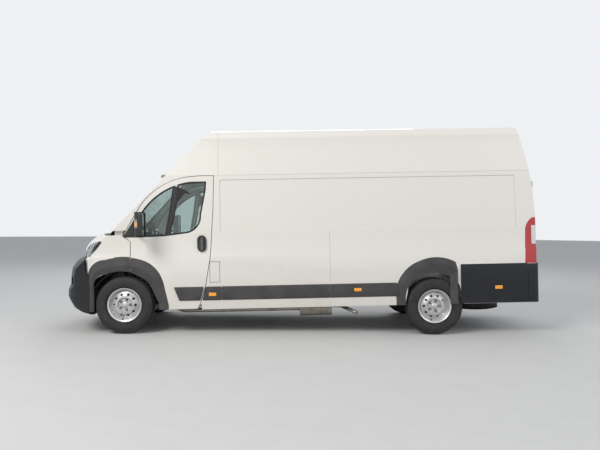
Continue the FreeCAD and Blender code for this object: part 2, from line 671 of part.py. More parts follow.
# Front doors.
def door_left():
    low = DOOR_SHELL.common(DOOR_BODY).common(box(-FAR, FAR, -1300, 0, 0, BELT))
    high = WALL_SHELL.common(DOOR_BODY).common(box(-FAR, FAR, -1300, 0, BELT, SEAM_Z))
    divider = [
        (FRONT_X + 550, BELT), (FRONT_X + 620, 1589), (FRONT_X + 672, 1960), (FRONT_X + 711, 1960),
        (FRONT_X + 659, 1589), (FRONT_X + 582, BELT)]
    bar = body_form(5).cut(body_form(24)).common(side_prism(divider, -1300, 0))
    door = low.fuse(high).cut(across(window_outline(0))).fuse(bar)
    x, y = FRONT_HINGE
    edge = FRONT_SHUT + size("hinge_gap") / 2 - 1
    for height in FRONT_HINGE_HEIGHTS:
        door = door.cut(box(edge, x + 9, y - 6.5, y + 100, height - 24, height + 24))
        door = door.cut(rod((x, y, height - 40), (x, y, height + 40), size("pin_radius") + PIN_GAP))
    return door, bar


door, bar = door_left()
pieces["front_door_left"] = door
pieces["front_door_right"] = mirrored(door)
glass = body_form(10).cut(body_form(15)).common(side_prism(window_outline(-GAP), -1300, 0)).cut(bar)
pieces["door_glass_left"] = glass
pieces["door_glass_right"] = mirrored(glass)


# Plastic trim: arch flares, rub strips and corner cladding stand proud of the side.
PROUD = size("flare_half_width")


def ring_between(outer, inner, y_outer, y_inner):
    first = outline(outer, lambda x, z: V(x, y_outer, z)).OuterWire
    second = outline(inner, lambda x, z: V(x, y_inner, z)).OuterWire
    return Part.makeLoft([first, second], True, True)


def moved(points, centre, low):
    full = [(centre + points[0][0], low)]
    for p in points:
        full.append(tuple(v + centre if i % 2 == 0 else v for i, v in enumerate(p)))
    full.append((centre + points[-1][-2], low))
    return full


def flare(centre, edge, ridge, mouth):
    low = SILL_Z
    body = ring_between(moved(edge, centre, low), moved(ridge, centre, low), -SIDE + 1, -PROUD)
    hollow = ring_between(moved(ridge, centre, low), moved(mouth, centre, low), -PROUD - 0.1, -PROUD + 14)
    opening = side_prism(moved(mouth, centre, low - 100), -1300, 0)
    return body.cut(hollow).cut(opening).cut(OUTER)


FRONT_EDGE = [(-455, 700), (-400, 900, -232, 967), (0, 997, 216, 964), (400, 860, 517, 623), (573, 363)]
FRONT_RIDGE = [(-400, 720), (-330, 820, -200, 862), (0, 882, 170, 857), (320, 780, 430, 590), (520, 340)]
FRONT_LIP = [(-380, 660), (-330, 740, -230, 770), (-60, 812, 205, 735), (336, 634, 342, 625), (452, 380)]
REAR_EDGE = [(-505, 363), (-440, 680, -194, 872), (0, 916, 278, 849)]
REAR_RIDGE = [(-450, 350), (-380, 640, -150, 790), (20, 826, 300, 740)]
REAR_LIP = [(-385, 350), (-330, 560, -61, 688), (70, 694, 200, 660), (260, 600, 342, 474)]


def strip(x0, x1, slant0=0.0, slant1=0.0):
    """A rub strip with bevelled top and bottom edges; the slants lean its ends."""
    section = [
        (-SIDE + 1, 412), (-SIDE - 12, 424), (-SIDE - 14, 440), (-SIDE - 14, 562), (-SIDE - 12, 578), (-SIDE + 1, 590)]
    bar_ = cross_prism(section, x0 - 100, x1 + 100)
    keep = side_prism([(x0 + slant0, 400), (x1 + slant1, 400), (x1, 600), (x0, 600)], -1300, 0)
    return bar_.common(keep).cut(OUTER)


FRONT_FLARE_SOLID = flare(FRONT_X, FRONT_EDGE, FRONT_RIDGE, FRONT_LIP)
door_rear_low = FRONT_X + 1175 - 121
DOOR_FLARE_START = FRONT_SHUT + size("hinge_gap") / 2 + 1
front_flare = FRONT_FLARE_SOLID.common(box(-FAR, FRONT_SHUT - size("hinge_gap") / 2, -1300, 0, 0, FAR))
door_end = plan_prism([
    (DOOR_FLARE_START, -900), (DOOR_FLARE_START, -SIDE), (DOOR_FLARE_START + 10, -PROUD - 2), (0, -PROUD - 2),
    (0, -900)], SILL_Z + 10, FAR)
door_flare = FRONT_FLARE_SOLID.common(door_end)
cladding = cross_prism([
    (-SIDE + 1, 300), (-SIDE - 8, 306), (-SIDE - 12, 520), (-SIDE - 14, 656), (-SIDE - 6, 780), (-SIDE + 1, 818),
], REAR_LEVEL_X + 342, TAIL_X - 120).cut(OUTER)
cladding = cladding.common(side_prism([
    (REAR_LEVEL_X + 345, 290), (TAIL_X, 290), (TAIL_X, 830), (REAR_LEVEL_X + 300, 830), (REAR_LEVEL_X + 300, 800)],
    -1300, 0))
rear_flare = flare(REAR_LEVEL_X, REAR_EDGE, REAR_RIDGE, REAR_LIP[:-1])
rear_flare = rear_flare.common(box(-FAR, REAR_LEVEL_X + 338, -1300, 0, SILL_Z, FAR))
fixed_strips = [
    strip(FRONT_X + 1175 - 95, -978, -40),
    strip(-970, 429),
    strip(437, REAR_LEVEL_X - 500, 0, 55),
]
strips_right = [
    strip(FRONT_X + 1175 - 95, SLIDE_FRONT - 6, -40),
    strip(437, REAR_LEVEL_X - 500, 0, 55),
]
door_strip = strip(FRONT_X + 640, door_rear_low - 35, 80, -52)
left_trim = [front_flare, rear_flare, cladding] + fixed_strips
right_trim = [mirrored(s) for s in [front_flare, rear_flare, cladding, strip(SLIDE_FRONT + 2, 429)] + strips_right]
pieces["side_trim"] = Part.makeCompound(left_trim + right_trim)


def oval(x, z, half_width, half_height):
    """An upright plate outline with round ends."""
    straight = half_height - half_width
    return [
        (x + half_width, z + straight), (x, z + half_height, x - half_width, z + straight),
        (x - half_width, z - straight), (x, z - half_height, x + half_width, z - straight)]


def handle():
    """An upright lever across an oval dish."""
    x, z = FRONT_X + 1013, 1148
    plate = side_prism(oval(x, z, 58, 106), -SIDE - 6, -SIDE + 13).cut(OUTER)
    dish = side_prism(oval(x, z, 46, 92), -SIDE - 7, -SIDE + 6)
    lever = side_prism(oval(x + 4, z, 17, 84), -SIDE - 20, -SIDE - 8)
    lever_feet = [box(x - 8, x + 14, -SIDE - 10, -SIDE + 8, z + up - 8, z + up + 8) for up in (-62, 62)]
    return plate.cut(dish).multiFuse([lever] + [p.cut(OUTER) for p in lever_feet])


trim = Part.makeCompound([door_flare, door_strip, handle()])
pieces["door_trim_left"] = trim
pieces["door_trim_right"] = mirrored(trim)


def mirror_left():
    """A tall housing with a bulged front and an open back for its two glasses, on two arms."""
    back, front, inner, outer, low, high = -1904, -2020, -1140, -1330, 1245, 1565
    middle = (inner + outer) / 2
    face = cross_prism([
        (inner, low + 45), (inner - 13, low + 13, inner - 45, low), (outer + 45, low),
        (outer + 13, low + 13, outer, low + 45), (outer, high - 45), (outer + 13, high - 13, outer + 45, high),
        (inner - 45, high), (inner - 13, high - 13, inner, high - 45)], front, back)
    bulge = plan_prism([
        (back, inner), (back - 30, inner), (front, middle, back - 30, outer), (back, outer)], low, high)
    shell = face.common(bulge).cut(box(back - 26, back + 4, outer + 12, inner - 12, low + 12, high - 12))
    root = plan_prism([(-2105, -975), (-2030, -975), (-2010, -1010), (-2095, -1010)], 1262, 1470)
    mirror_arms = [
        pipe([(-2070, -1000, z), (-2040, -1080, z + 3), (-1985, -1160, z + 6)], 16, 30).cut(OUTER)
        for z in (1300, 1420)]
    return shell.multiFuse([root.cut(OUTER)] + mirror_arms)


pieces["mirror_left"] = mirror_left()
pieces["mirror_right"] = mirrored(pieces["mirror_left"])

# Bumpers and grille.
BUMPER = [
    (NOSE_AXIS + 200, 239),
    (NOSE_X + 280, 239), (NOSE_X + 211, 258), (NOSE_X + 121, 294), (NOSE_X + 65, 336), (NOSE_X + 19, 427),
    (NOSE_X, 484), (NOSE_X + 5, 566), (NOSE_X + 35, 630), (NOSE_X + 41, 736), (NOSE_X + 59, 850),
    (NOSE_X + 109, 920), (NOSE_X + 134, 950), (NOSE_X + 223, 996), (NOSE_AXIS + 200, 996),
]
BUMPER_HALF = SIDE + 6


def bumper_form(depth):
    block = box(NOSE_X - 50, FRONT_X, -BUMPER_HALF + depth, BUMPER_HALF - depth, 100, 1100)
    form = block.common(swept_front(BUMPER, NOSE_AXIS, depth))
    for sign in (-1, 1):
        form = form.cut(corner_cutter(sign, depth, BUMPER_HALF))
    return form


bumper_reach = across([
    (NOSE_X - 50, 200), (FRONT_X - 440, 200), (FRONT_X - 412, 555), (-2628, 719.5),
    (-2719 - GAP, 826.5), (-2744 - GAP, 972), (-2756, 984), (-2810, 1001), (NOSE_X - 50, 1001)])
bumper = bumper_form(0).cut(bumper_form(30)).common(bumper_reach)
bumper = bumper.cut(box(-FAR, FAR, -FAR, FAR, 960, FAR).common(box(-FAR, -2990, -FAR, FAR, 0, 700)))
GRILLE_HALF = 480.0
grille_hole = box(NOSE_X - 50, NOSE_X + 400, -GRILLE_HALF, GRILLE_HALF, 655, 850)
intake = box(NOSE_X - 50, NOSE_X + 400, -520, 520, 345, 545)
bumper = bumper.cut(grille_hole).cut(intake)
fog = across([(-2990, 740), (-2888, 738), (-2889, 701), (-2934, 634), (-2992, 635)])
fog = fog.cut(box(-FAR, FAR, -640, 640, 0, FAR)).common(bumper_form(-1).cut(bumper_form(14)))
liner_room = rod((FRONT_X, -1300, AXLE_Z), (FRONT_X, 1300, AXLE_Z), ARCH_R + 5)
bumper = bumper.cut(fog).cut(both(front_flare)).cut(liner_room)
pieces["front_bumper"] = bumper
blades = []
for low in (672, 716, 760, 804):
    blades.append(box(NOSE_X - 50, NOSE_X + 400, -GRILLE_HALF + 1, GRILLE_HALF - 1, low, low + 20))
for low in (375, 425, 475):
    blades.append(box(NOSE_X - 50, NOSE_X + 400, -519, 519, low, low + 16))
for y in (-300, -100, 100, 300):
    blades.append(box(NOSE_X - 50, NOSE_X + 400, y - 8, y + 8, 656, 849))
    blades.append(box(NOSE_X - 50, NOSE_X + 400, y - 8, y + 8, 346, 544))
blade_layer = bumper_form(12).cut(bumper_form(28))
bars = [blade_layer.common(blade) for blade in blades]
grille = bars[0].multiFuse(bars[1:])
backing = bumper_form(30.3).cut(bumper_form(34)).common(
    join([box(NOSE_X - 50, NOSE_X + 400, -560, 560, 320, 880)]))
pieces["grille"] = grille.fuse(bumper_form(28).cut(bumper_form(30.3)).common(
    box(NOSE_X - 50, NOSE_X + 400, -GRILLE_HALF + 1, GRILLE_HALF - 1, 656, 849).fuse(
        box(NOSE_X - 50, NOSE_X + 400, -519, 519, 346, 544)))).fuse(backing)

# Rear bumper: a low step between two corner pieces that wrap the tail under its lamps.
REAR_CORNER = 876.0
CORNER_FRONT = TAIL_X - 116
CORNER_ROUND = 70.0
CORNER_BEND = CORNER_ROUND * (1 - math.sqrt(0.5))
CLADDING_LOW, CLADDING_HIGH = 300.0, 812.0
WRAP = SIDE + 14
corner_plan = plan_prism([
    (CORNER_FRONT, -REAR_CORNER), (REAR_END, -REAR_CORNER), (REAR_END, -WRAP + CORNER_ROUND),
    (REAR_END - CORNER_BEND, -WRAP + CORNER_BEND, REAR_END - CORNER_ROUND, -WRAP), (CORNER_FRONT, -WRAP),
], CLADDING_LOW, CLADDING_HIGH)
corner_section = cross_prism([
    (-REAR_CORNER, CLADDING_LOW), (-SIDE - 6, CLADDING_LOW), (-SIDE - 12, 520), (-WRAP, 656),
    (-SIDE - 6, 780), (-SIDE + 1, CLADDING_HIGH), (-REAR_CORNER, CLADDING_HIGH)], CORNER_FRONT, REAR_END)
corner_piece = corner_plan.common(corner_section).cut(OUTER)
step = cross_prism([
    (-REAR_CORNER - 2, 300), (REAR_CORNER + 2, 300), (REAR_CORNER + 2, 392), (-REAR_CORNER - 2, 392),
], TAIL_X + GAP, REAR_END)
pieces["rear_bumper"] = step.multiFuse([corner_piece, mirrored(corner_piece)])

# Load floor in three plates round its wheel boxes, the cab floor, and the members under both.
INNER = SIDE - WALL - 16
BULK = size("bulkhead_x")
BOX_REACH = 415.0
BOX_SIDE = 706.0
BOX_SHEET = 6.0
deck_low = FLOOR_Z - size("floor_thickness")
pieces["floor_pan"] = Part.makeCompound([
    box(BULK, REAR_LEVEL_X - BOX_REACH - GAP, -INNER, INNER, deck_low, FLOOR_Z),
    box(REAR_LEVEL_X - BOX_REACH, REAR_LEVEL_X + BOX_REACH, GAP - BOX_SIDE, BOX_SIDE - GAP, deck_low, FLOOR_Z),
    box(REAR_LEVEL_X + BOX_REACH + GAP, TAIL_X - WALL - 8, -INNER, INNER, deck_low, FLOOR_Z),
])
BOX_TOP = 705.0
box_plates = [
    box(REAR_LEVEL_X - BOX_REACH, REAR_LEVEL_X + BOX_REACH, BOX_SIDE, INNER, BOX_TOP - BOX_SHEET, BOX_TOP),
    box(REAR_LEVEL_X - BOX_REACH, REAR_LEVEL_X + BOX_REACH, BOX_SIDE, BOX_SIDE + BOX_SHEET, deck_low,
        BOX_TOP - BOX_SHEET - GAP),
]
for low in (REAR_LEVEL_X - BOX_REACH, REAR_LEVEL_X + BOX_REACH - BOX_SHEET):
    box_plates.append(box(
        low, low + BOX_SHEET, BOX_SIDE + BOX_SHEET + GAP, INNER, deck_low, BOX_TOP - BOX_SHEET - GAP))
pieces["wheel_boxes"] = both(Part.makeCompound(box_plates))
cab = size("cab_floor_height")
CAB_FLOOR_X = FRONT_X + 470
pieces["cab_floor"] = Part.makeCompound([
    box(CAB_FLOOR_X, BULK, -890, 890, cab - 20, cab),
    side_prism([
        (CAB_FLOOR_X - GAP, cab - 20), (CAB_FLOOR_X - GAP, cab), (FRONT_SHUT - 44, 700), (FRONT_SHUT - 44, 680),
    ], -WELL_Y + 10, WELL_Y - 10),
    box(BULK + GAP, BULK + 20, -890, 890, FLOOR_Z + GAP, cab),
])
RAIL_INNER, RAIL_OUTER, SILL_INNER = 420.0, size("rail_half_width"), 800.0
pieces["front_members"] = both(Part.makeCompound([
    box(CAB_FLOOR_X, BULK - GAP, RAIL_INNER, RAIL_OUTER, 380, cab - 20),
    box(NOSE_X + 220, CAB_FLOOR_X - GAP, RAIL_INNER, RAIL_OUTER, 440, cab - 20 - GAP),
    box(CAB_FLOOR_X, BULK - GAP, SILL_INNER, 890, 320, cab - 20),
]))
MEMBER_LOW = size("member_height")
beams = [
    box(BULK, TAIL_X - 60, RAIL_INNER, RAIL_OUTER, 300, deck_low),
    box(BULK, 1380, SILL_INNER, INNER, 305, deck_low),
    box(2230, TAIL_X - 70, SILL_INNER, INNER, 305, deck_low),
]
middles = []
for x in (-700, -100, 500, 1100, 2500, 3010):
    beams.append(box(x, x + 60, RAIL_OUTER + GAP, SILL_INNER - GAP, MEMBER_LOW, deck_low))
    middles.append(box(x, x + 60, GAP - RAIL_INNER, RAIL_INNER - GAP, MEMBER_LOW, deck_low))
pieces["floor_members"] = Part.makeCompound(beams + [mirrored(s) for s in beams] + middles)

ring = tube((FRONT_X, -893, AXLE_Z), (FRONT_X, -WELL_Y, AXLE_Z), ARCH_R + 4, ARCH_R)
wing_ring = tube((FRONT_X, -SIDE + SKIN + 2, AXLE_Z), (FRONT_X, -893, AXLE_Z), ARCH_R + 4, ARCH_R)
wing_ring = wing_ring.common(box(-FAR, FRONT_SHUT - 8, -FAR, FAR, 0, FAR))
liner = ring.fuse(wing_ring).common(box(-FAR, FAR, -FAR, FAR, AXLE_Z + 10, FAR))
liner = liner.cut(box(FRONT_SHUT - 90, FRONT_SHUT, -1000, -870, 760, 1000))
pieces["arch_liners"] = both(liner)

# Cowl tray under the windscreen, with the bonnet's hinges.
COWL_HALF = BONNET_HALF + SHUT - GAP
tray = box(BONNET_CREST + 14, FRONT_SHUT - 256, -COWL_HALF, COWL_HALF, 1255, 1262)
wall = body_form(14).cut(body_form(20)).common(
    box(BONNET_CREST, FRONT_X, -COWL_HALF, COWL_HALF, 1255, SCREEN_FOOT - 12 - GAP)).cut(bonnet_region(12))
BONNET_HINGE = (BONNET_BACK + 8, 1281.0)
BONNET_HINGE_Y = 690.0
cowl_forks, bonnet_arms, arm_bores, arm_slots = [], [], [], []
for y in (-BONNET_HINGE_Y, BONNET_HINGE_Y):
    x, z = BONNET_HINGE
    cowl_forks.append(rod((x, y - 20, z), (x, y + 20, z), size("pin_radius")))
    for low in (y - 20, y + 12):
        cowl_forks.append(box(x - 8, x + 30, low, low + 8, 1256, z + 8))
    bonnet_arms.append(box(x - 110, x, y - 5, y + 5, z - 17, z))
    bonnet_arms.append(rod((x, y - 5, z), (x, y + 5, z), 9))
    arm_bores.append(rod((x, y - 8, z), (x, y + 8, z), size("pin_radius") + PIN_GAP))
    arm_slots.append(box(x - 140, x + 15, y - 11, y + 11, 1262, 1340))
bonnet_corner = both(box(BONNET_CREST, BONNET_BACK - 8, 770, 900, 1200, FAR))
cowl = tray.common(body_form(20)).multiFuse([wall]).cut(bonnet_corner)
pieces["cowl"] = cowl.cut(join(arm_slots)).multiFuse(cowl_forks)
bonnet = bonnet.multiFuse(bonnet_arms)
pieces["bonnet"] = bonnet.cut(join(arm_bores))

# Cab fittings.
dash_profile = [
    (FRONT_SHUT - 44 + GAP, 1228 - GAP), (FRONT_SHUT - 44 + GAP, 800), (FRONT_SHUT + 20, 760), (FRONT_SHUT + 130, 900),
    (FRONT_SHUT + 190, 1080), (FRONT_SHUT + 120, 1170, FRONT_SHUT + 60, 1228 - GAP)]
dash = side_prism(dash_profile, -860, 860)
shelf = body_form(70).common(box(FRONT_SHUT - 240, FRONT_SHUT + 100, -780, 780, 1242, 1262))
binnacle = side_prism([
    (FRONT_SHUT + 40, 1180), (FRONT_SHUT + 60, 1290), (FRONT_SHUT + 90, 1310, FRONT_SHUT + 130, 1290),
    (FRONT_SHUT + 180, 1100)], -640, -300)
WHEEL_Y = -470.0
COLUMN = V(math.cos(math.radians(40)), 0, math.sin(math.radians(40)))
WHEEL_CENTRE = V(FRONT_SHUT + 330, WHEEL_Y, 1175)
HUB_BASE = WHEEL_CENTRE - COLUMN * 60
column_start = WHEEL_CENTRE - COLUMN * 330
shroud = rod(tuple(column_start), tuple(HUB_BASE - COLUMN * 1), 34)
shaft = rod(tuple(column_start), tuple(WHEEL_CENTRE - COLUMN * 28), 12)
stack = side_prism([
    (FRONT_SHUT + 60, 666), (FRONT_SHUT + 60, 900), (FRONT_SHUT + 150, 1000), (FRONT_SHUT + 200, 900),
    (FRONT_SHUT + 170, 630)], -180, 180)
DOOR_SWING = 180.0
hinge_x, hinge_y = FRONT_HINGE
swing = both(rod((hinge_x, hinge_y, 1186), (hinge_x, hinge_y, 1300), DOOR_SWING))
dashboard = dash.cut(swing).multiFuse([shelf, binnacle, shroud, shaft, stack])
pieces["dashboard"] = dashboard.cut(both(
    rod((FRONT_X, -WELL_Y - 340, AXLE_Z), (FRONT_X, -WELL_Y + 4, AXLE_Z), ARCH_R + 8)))

rim = Part.makeTorus(190, 15, WHEEL_CENTRE, COLUMN)
hub = Part.makeCylinder(45, 60, HUB_BASE, COLUMN)
bore = Part.makeCylinder(12 + size("bore_gap"), 33, HUB_BASE - COLUMN * 1, COLUMN)
spokes = []
for turn in (90, 210, 330):
    spoke = Part.makeBox(185, 34, 10, V(0, -17, -5))
    spoke = spoke.cut(Part.makeBox(30, 40, 20, V(-1, -20, -10)))
    spoke.rotate(V(0, 0, 0), V(0, 0, 1), turn)
    spoke.Placement = Placement(WHEEL_CENTRE - COLUMN * 10, Rotation(V(0, 0, 1), COLUMN)).multiply(spoke.Placement)
    spokes.append(spoke)
pieces["steering_wheel"] = rim.multiFuse([hub] + spokes).cut(bore)

CUSHION_Z = cab + 240
SEATS = [("driver", -700, -220), ("bench", -130, 720)]
frames, pads = [], []
for label, y0, y1 in SEATS:
    base = box(-1760, -1290, y0 + 60, y1 - 60, cab + GAP, CUSHION_Z)
    bracket = side_prism([
        (-1300, CUSHION_Z - 40), (-1180, CUSHION_Z - 40), (-1180, CUSHION_Z + 20 - GAP),
        (-1289, CUSHION_Z + 20 - GAP), (-1289, CUSHION_Z)], y0 + 60, y1 - 60)
    frames.append(base.fuse(bracket))
    cushion = box(-1790, -1290, y0, y1, CUSHION_Z + GAP, CUSHION_Z + 130)
    pads.append(cushion.makeFillet(35, cushion.Edges))
    back = side_prism([
        (-1284, CUSHION_Z + 20), (-1175, CUSHION_Z + 20), (-1080, CUSHION_Z + 685), (-1185, CUSHION_Z + 685)], y0 + 5, y1 - 5)
    pads.append(back.makeFillet(30, back.Edges))
    centres = [(y0 + y1) / 2] if label == "driver" else [y0 + 220, y1 - 220]
    for y in centres:
        rest = side_prism([
            (-1165, CUSHION_Z + 735), (-1070, CUSHION_Z + 735), (-1060, CUSHION_Z + 890), (-1145, CUSHION_Z + 890)],
            y - 130, y + 130)
        pads.append(rest.makeFillet(30, rest.Edges))
        for pin in (-60, 60):
            frames.append(rod((-1120, y + pin, CUSHION_Z + 685 + GAP), (-1120, y + pin, CUSHION_Z + 735 - GAP), 6))
pieces["seat_frames"] = Part.makeCompound(frames)
pieces["seat_pads"] = Part.makeCompound(pads)

screen = body_form(WALL + GAP).common(box(BULK - 12, BULK, -1300, 1300, cab + GAP, ROOF_Z))
ribs = [box(BULK - 1, BULK + 9, y - 30, y + 30, cab + 60, SEAM_Z + 300) for y in (-600, -200, 200, 600)]
pieces["bulkhead"] = screen.multiFuse(ribs)

# Engine, tank, exhaust and spare wheel under the body.
def bound_box(name, place, lengths):
    """A Part::Box whose corner and sides are expressions of the sheet, in the level body's frame."""
    part_box = doc.addObject("Part::Box", name)
    for axis, text in zip("xyz", place):
        part_box.setExpression("Placement.Base." + axis, text)
    for side, text in zip(("Length", "Width", "Height"), lengths):
        part_box.setExpression(side, text)
    return part_box


front_axle = "-sizes.overall_length / 2 + sizes.front_overhang"
engine = bound_box("engine_case", (
    front_axle + " - 620", "-sizes.engine_width / 2", "sizes.engine_bottom",
), ("sizes.engine_length", "sizes.engine_width", "sizes.engine_height"))
carrier = bound_box("engine_carrier", (
    front_axle + " - 480", "-sizes.rail_half_width + 80", "470"), ("80", "2 * sizes.rail_half_width - 160", "50"))
engine_union = doc.addObject("Part::Fuse", "engine_union")
engine_union.Base = engine
engine_union.Tool = carrier
tank = bound_box("tank_blank", ("-900", "-sizes.tank_width / 2", "sizes.tank_bottom"), (
    "sizes.tank_length", "sizes.tank_width", "sizes.member_height - sizes.fit_gap - sizes.tank_bottom"))
doc.recompute()
TANK_ROUND = 40.0
tank_union = doc.addObject("Part::Fillet", "tank_rounded")
tank_union.Base = tank
tank_union.Edges = [
    (i, TANK_ROUND, TANK_ROUND) for i, e in enumerate(tank.Shape.Edges, start=1)
    if e.BoundBox.ZMin < size("tank_bottom") + 1]
doc.recompute()
pieces["engine_block"] = engine_union.Shape
pieces["fuel_tank"] = tank_union.Shape
pipe_run = pipe([
    (FRONT_X - 100, -250, 365), (FRONT_X + 280, -250, 335), (FRONT_X + 700, -600, 235), (FRONT_X + 1500, -640, 235),
    (60, -640, 235)], 30, 120)
muffler = rod((40, -640, 240), (470, -640, 240), 105)
tail_run = pipe([(450, -660, 262), (600, -700, 262), (680, -880, 240), (776, -962, 205)], 24, 45)
hanger = box(200, 260, -650, -630, 330, deck_low - GAP)
pieces["exhaust"] = pipe_run.multiFuse([muffler, tail_run, hanger])

# Wheels and tyres, drawn about an upright axis with the outer face up.
RIM_R = size("rim_radius")
RIM_W = size("rim_half_width")
TYRE_R = size("tyre_radius")
TYRE_W = size("tyre_half_width")
SPINDLE = size("spindle_radius")
BORE = SPINDLE + size("bore_gap")
HUB_IN, HUB_OUT = -45.0, 42.0
FACE = 45.0

RIM_SEAT = 205.0
RIM_PROFILE = [
    (RIM_R, RIM_W), (RIM_R, RIM_W - 10), (RIM_SEAT, RIM_W - 16), (201, 35), (186, 20), (186, -30), (201, -50),
    (RIM_SEAT, -RIM_W + 16), (RIM_R, -RIM_W + 10), (RIM_R, -RIM_W), (214, -RIM_W), (199, -RIM_W + 10), (195, -54),
    (180, -33), (180, 16), (172, 30), (150, 40), (122, 62), (100, 66), (84, FACE), (39, FACE),
    (39, FACE + 7), (80, FACE + 7), (96, 74), (124, 70), (154, 48), (176, 38), (186, 30), (196, 40), (199, RIM_W - 10),
    (214, RIM_W),
]
HUB_PROFILE = [
    (BORE, HUB_IN), (62, HUB_IN), (62, -24), (150, -24), (150, -6), (62, -6), (62, 30), (82, 34), (82, FACE),
    (38, FACE), (38, 62), (30, 68), (0, 68), (0, HUB_OUT), (BORE, HUB_OUT),
]
TYRE_PROFILE = [
    (RIM_SEAT + GAP, 68), (221, 69), (238, 92), (255, 107), (290, TYRE_W, 330, 105), (352, 97), (364, 88, TYRE_R - 2, 74),
    (TYRE_R, 0, TYRE_R - 2, -74), (364, -88, 352, -97), (330, -105), (290, -TYRE_W, 255, -107), (238, -92),
    (221, -69), (RIM_SEAT + GAP, -68), (RIM_SEAT + GAP, -40), (222, -50), (244, -84), (290, -98, 328, -93), (350, -84, 358, -66),
    (358, 66), (350, 84, 328, 93), (290, 98, 244, 84), (222, 50), (RIM_SEAT + GAP, 40),
]


def sketch_loop(sketch, points):
    count = len(points)
    for i, start in enumerate(points):
        target = points[(i + 1) % count]
        a = V(start[-2], start[-1], 0)
        b = V(target[-2], target[-1], 0)
        if len(target) == 4:
            sketch.addGeometry(Part.Arc(a, V(target[0], target[1], 0), b), False)
        else:
            sketch.addGeometry(Part.LineSegment(a, b), False)


def plane(body, role):
    return next(f for f in body.Origin.OriginFeatures if f.Role == role)


def new_sketch(body, name, role):
    sketch = body.newObject("Sketcher::SketchObject", name)
    sketch.AttachmentSupport = [(plane(body, role), "")]
    sketch.MapMode = "FlatFace"
    return sketch


def turned(body, name, points):
    sketch = new_sketch(body, name + "_profile", "XZ_Plane")
    sketch_loop(sketch, points)
    feature = body.newObject("PartDesign::Revolution", name)
    feature.Profile = sketch
    feature.ReferenceAxis = (sketch, ["V_Axis"])
    feature.Angle = 360
    return feature


def hole_ring(body, name, reach, radius, count):
    """Round holes on a circle; reach, radius and count are expressions of the sheet."""
    sketch = new_sketch(body, name + "_circle", "XY_Plane")
    hole = sketch.addGeometry(Part.Circle(V(60, 0, 0), V(0, 0, 1), 5), False)
    sketch.addConstraint(Sketcher.Constraint("PointOnObject", hole, 3, -1))
    sketch.addConstraint(Sketcher.Constraint("DistanceX", -1, 1, hole, 3, 60))
    sketch.addConstraint(Sketcher.Constraint("Radius", hole, 5))
    sketch.renameConstraint(1, "reach")
    sketch.renameConstraint(2, "radius")
    sketch.setExpression("Constraints.reach", reach)
    sketch.setExpression("Constraints.radius", radius)
    pocket = body.newObject("PartDesign::Pocket", name)
    pocket.Profile = sketch
    pocket.Type = 1
    pocket.Midplane = True
    pattern = body.newObject("PartDesign::PolarPattern", name + "_ring")
    pattern.Originals = [pocket]
    pattern.Axis = (sketch, ["N_Axis"])
    pattern.Angle = 360
    pattern.setExpression("Occurrences", count)
    body.Tip = pattern


bodies = {}


def wheel_body(name):
    body = doc.addObject("PartDesign::Body", name)
    turned(body, name + "_rim", RIM_PROFILE)
    hole_ring(
        body, name + "_vent", "sizes.wheel_vent_circle / 2", "sizes.wheel_vent_radius", "sizes.wheel_vent_count")
    turned(body, name + "_hub", HUB_PROFILE)
    hole_ring(body, name + "_bolt", "sizes.wheel_bolt_circle / 2", "sizes.wheel_bolt_radius", "5")
    bodies[name] = body
    return body


def tyre_body(name):
    body = doc.addObject("PartDesign::Body", name)
    turned(body, name + "_section", TYRE_PROFILE)
    bodies[name] = body
    return body


# Corner of the van, place behind the front axle, place across and side.
CORNERS = [
    ("front_left", "0", "-sizes.front_track / 2", -1),
    ("front_right", "0", "sizes.front_track / 2", 1),
    ("rear_left", "sizes.wheelbase", "-sizes.rear_track / 2", -1),
    ("rear_right", "sizes.wheelbase", "sizes.rear_track / 2", 1),
]
for corner, behind, aside, hand in CORNERS:
    for body in (wheel_body("wheel_" + corner), tyre_body("tyre_" + corner)):
        body.Placement = Placement(V(0, 0, 0), Rotation(V(0, 0, 1), V(0, hand, 0)))
        body.setExpression("Placement.Base.x", front_axle + " + " + behind)
        body.setExpression("Placement.Base.y", aside)
        body.setExpression("Placement.Base.z", "sizes.tyre_radius")

# Front knuckles turn about an inclined steering axis. They and the axles do not rake with the body.
unsprung = {}
KING_LOW = V(FRONT_X, -800, 230)
KING_HIGH = V(FRONT_X, -655, 801)
KING = (KING_HIGH - KING_LOW).normalize()


def king_at(height):
    return KING_LOW + KING * ((height - KING_LOW.z) / KING.z)


track_y = -size("front_track") / 2
spindle = rod((FRONT_X, track_y - HUB_OUT + 4, AXLE_Z), (FRONT_X, -790, AXLE_Z), SPINDLE)
upright = box(FRONT_X - 38, FRONT_X + 38, -822, -735, 262, 470).cut(
    box(FRONT_X - 60, FRONT_X + 60, -FAR, -800, 430, 500))
tie_arm = box(FRONT_X + 30, FRONT_X + 150, -800, -765, 300, 325)
strut = rod(tuple(king_at(450)), tuple(king_at(640)), 27)
seat = rod(tuple(king_at(600)), tuple(king_at(608)), 68)
ARM_TOP = 228.0
BALL_R = 20.0
ball = rod(tuple(king_at(ARM_TOP + GAP + BALL_R * KING.y)), tuple(king_at(300)), BALL_R)
knuckle = upright.multiFuse([spindle, tie_arm, strut, seat, ball])
unsprung["knuckle_left"] = knuckle
unsprung["knuckle_right"] = mirrored(knuckle)

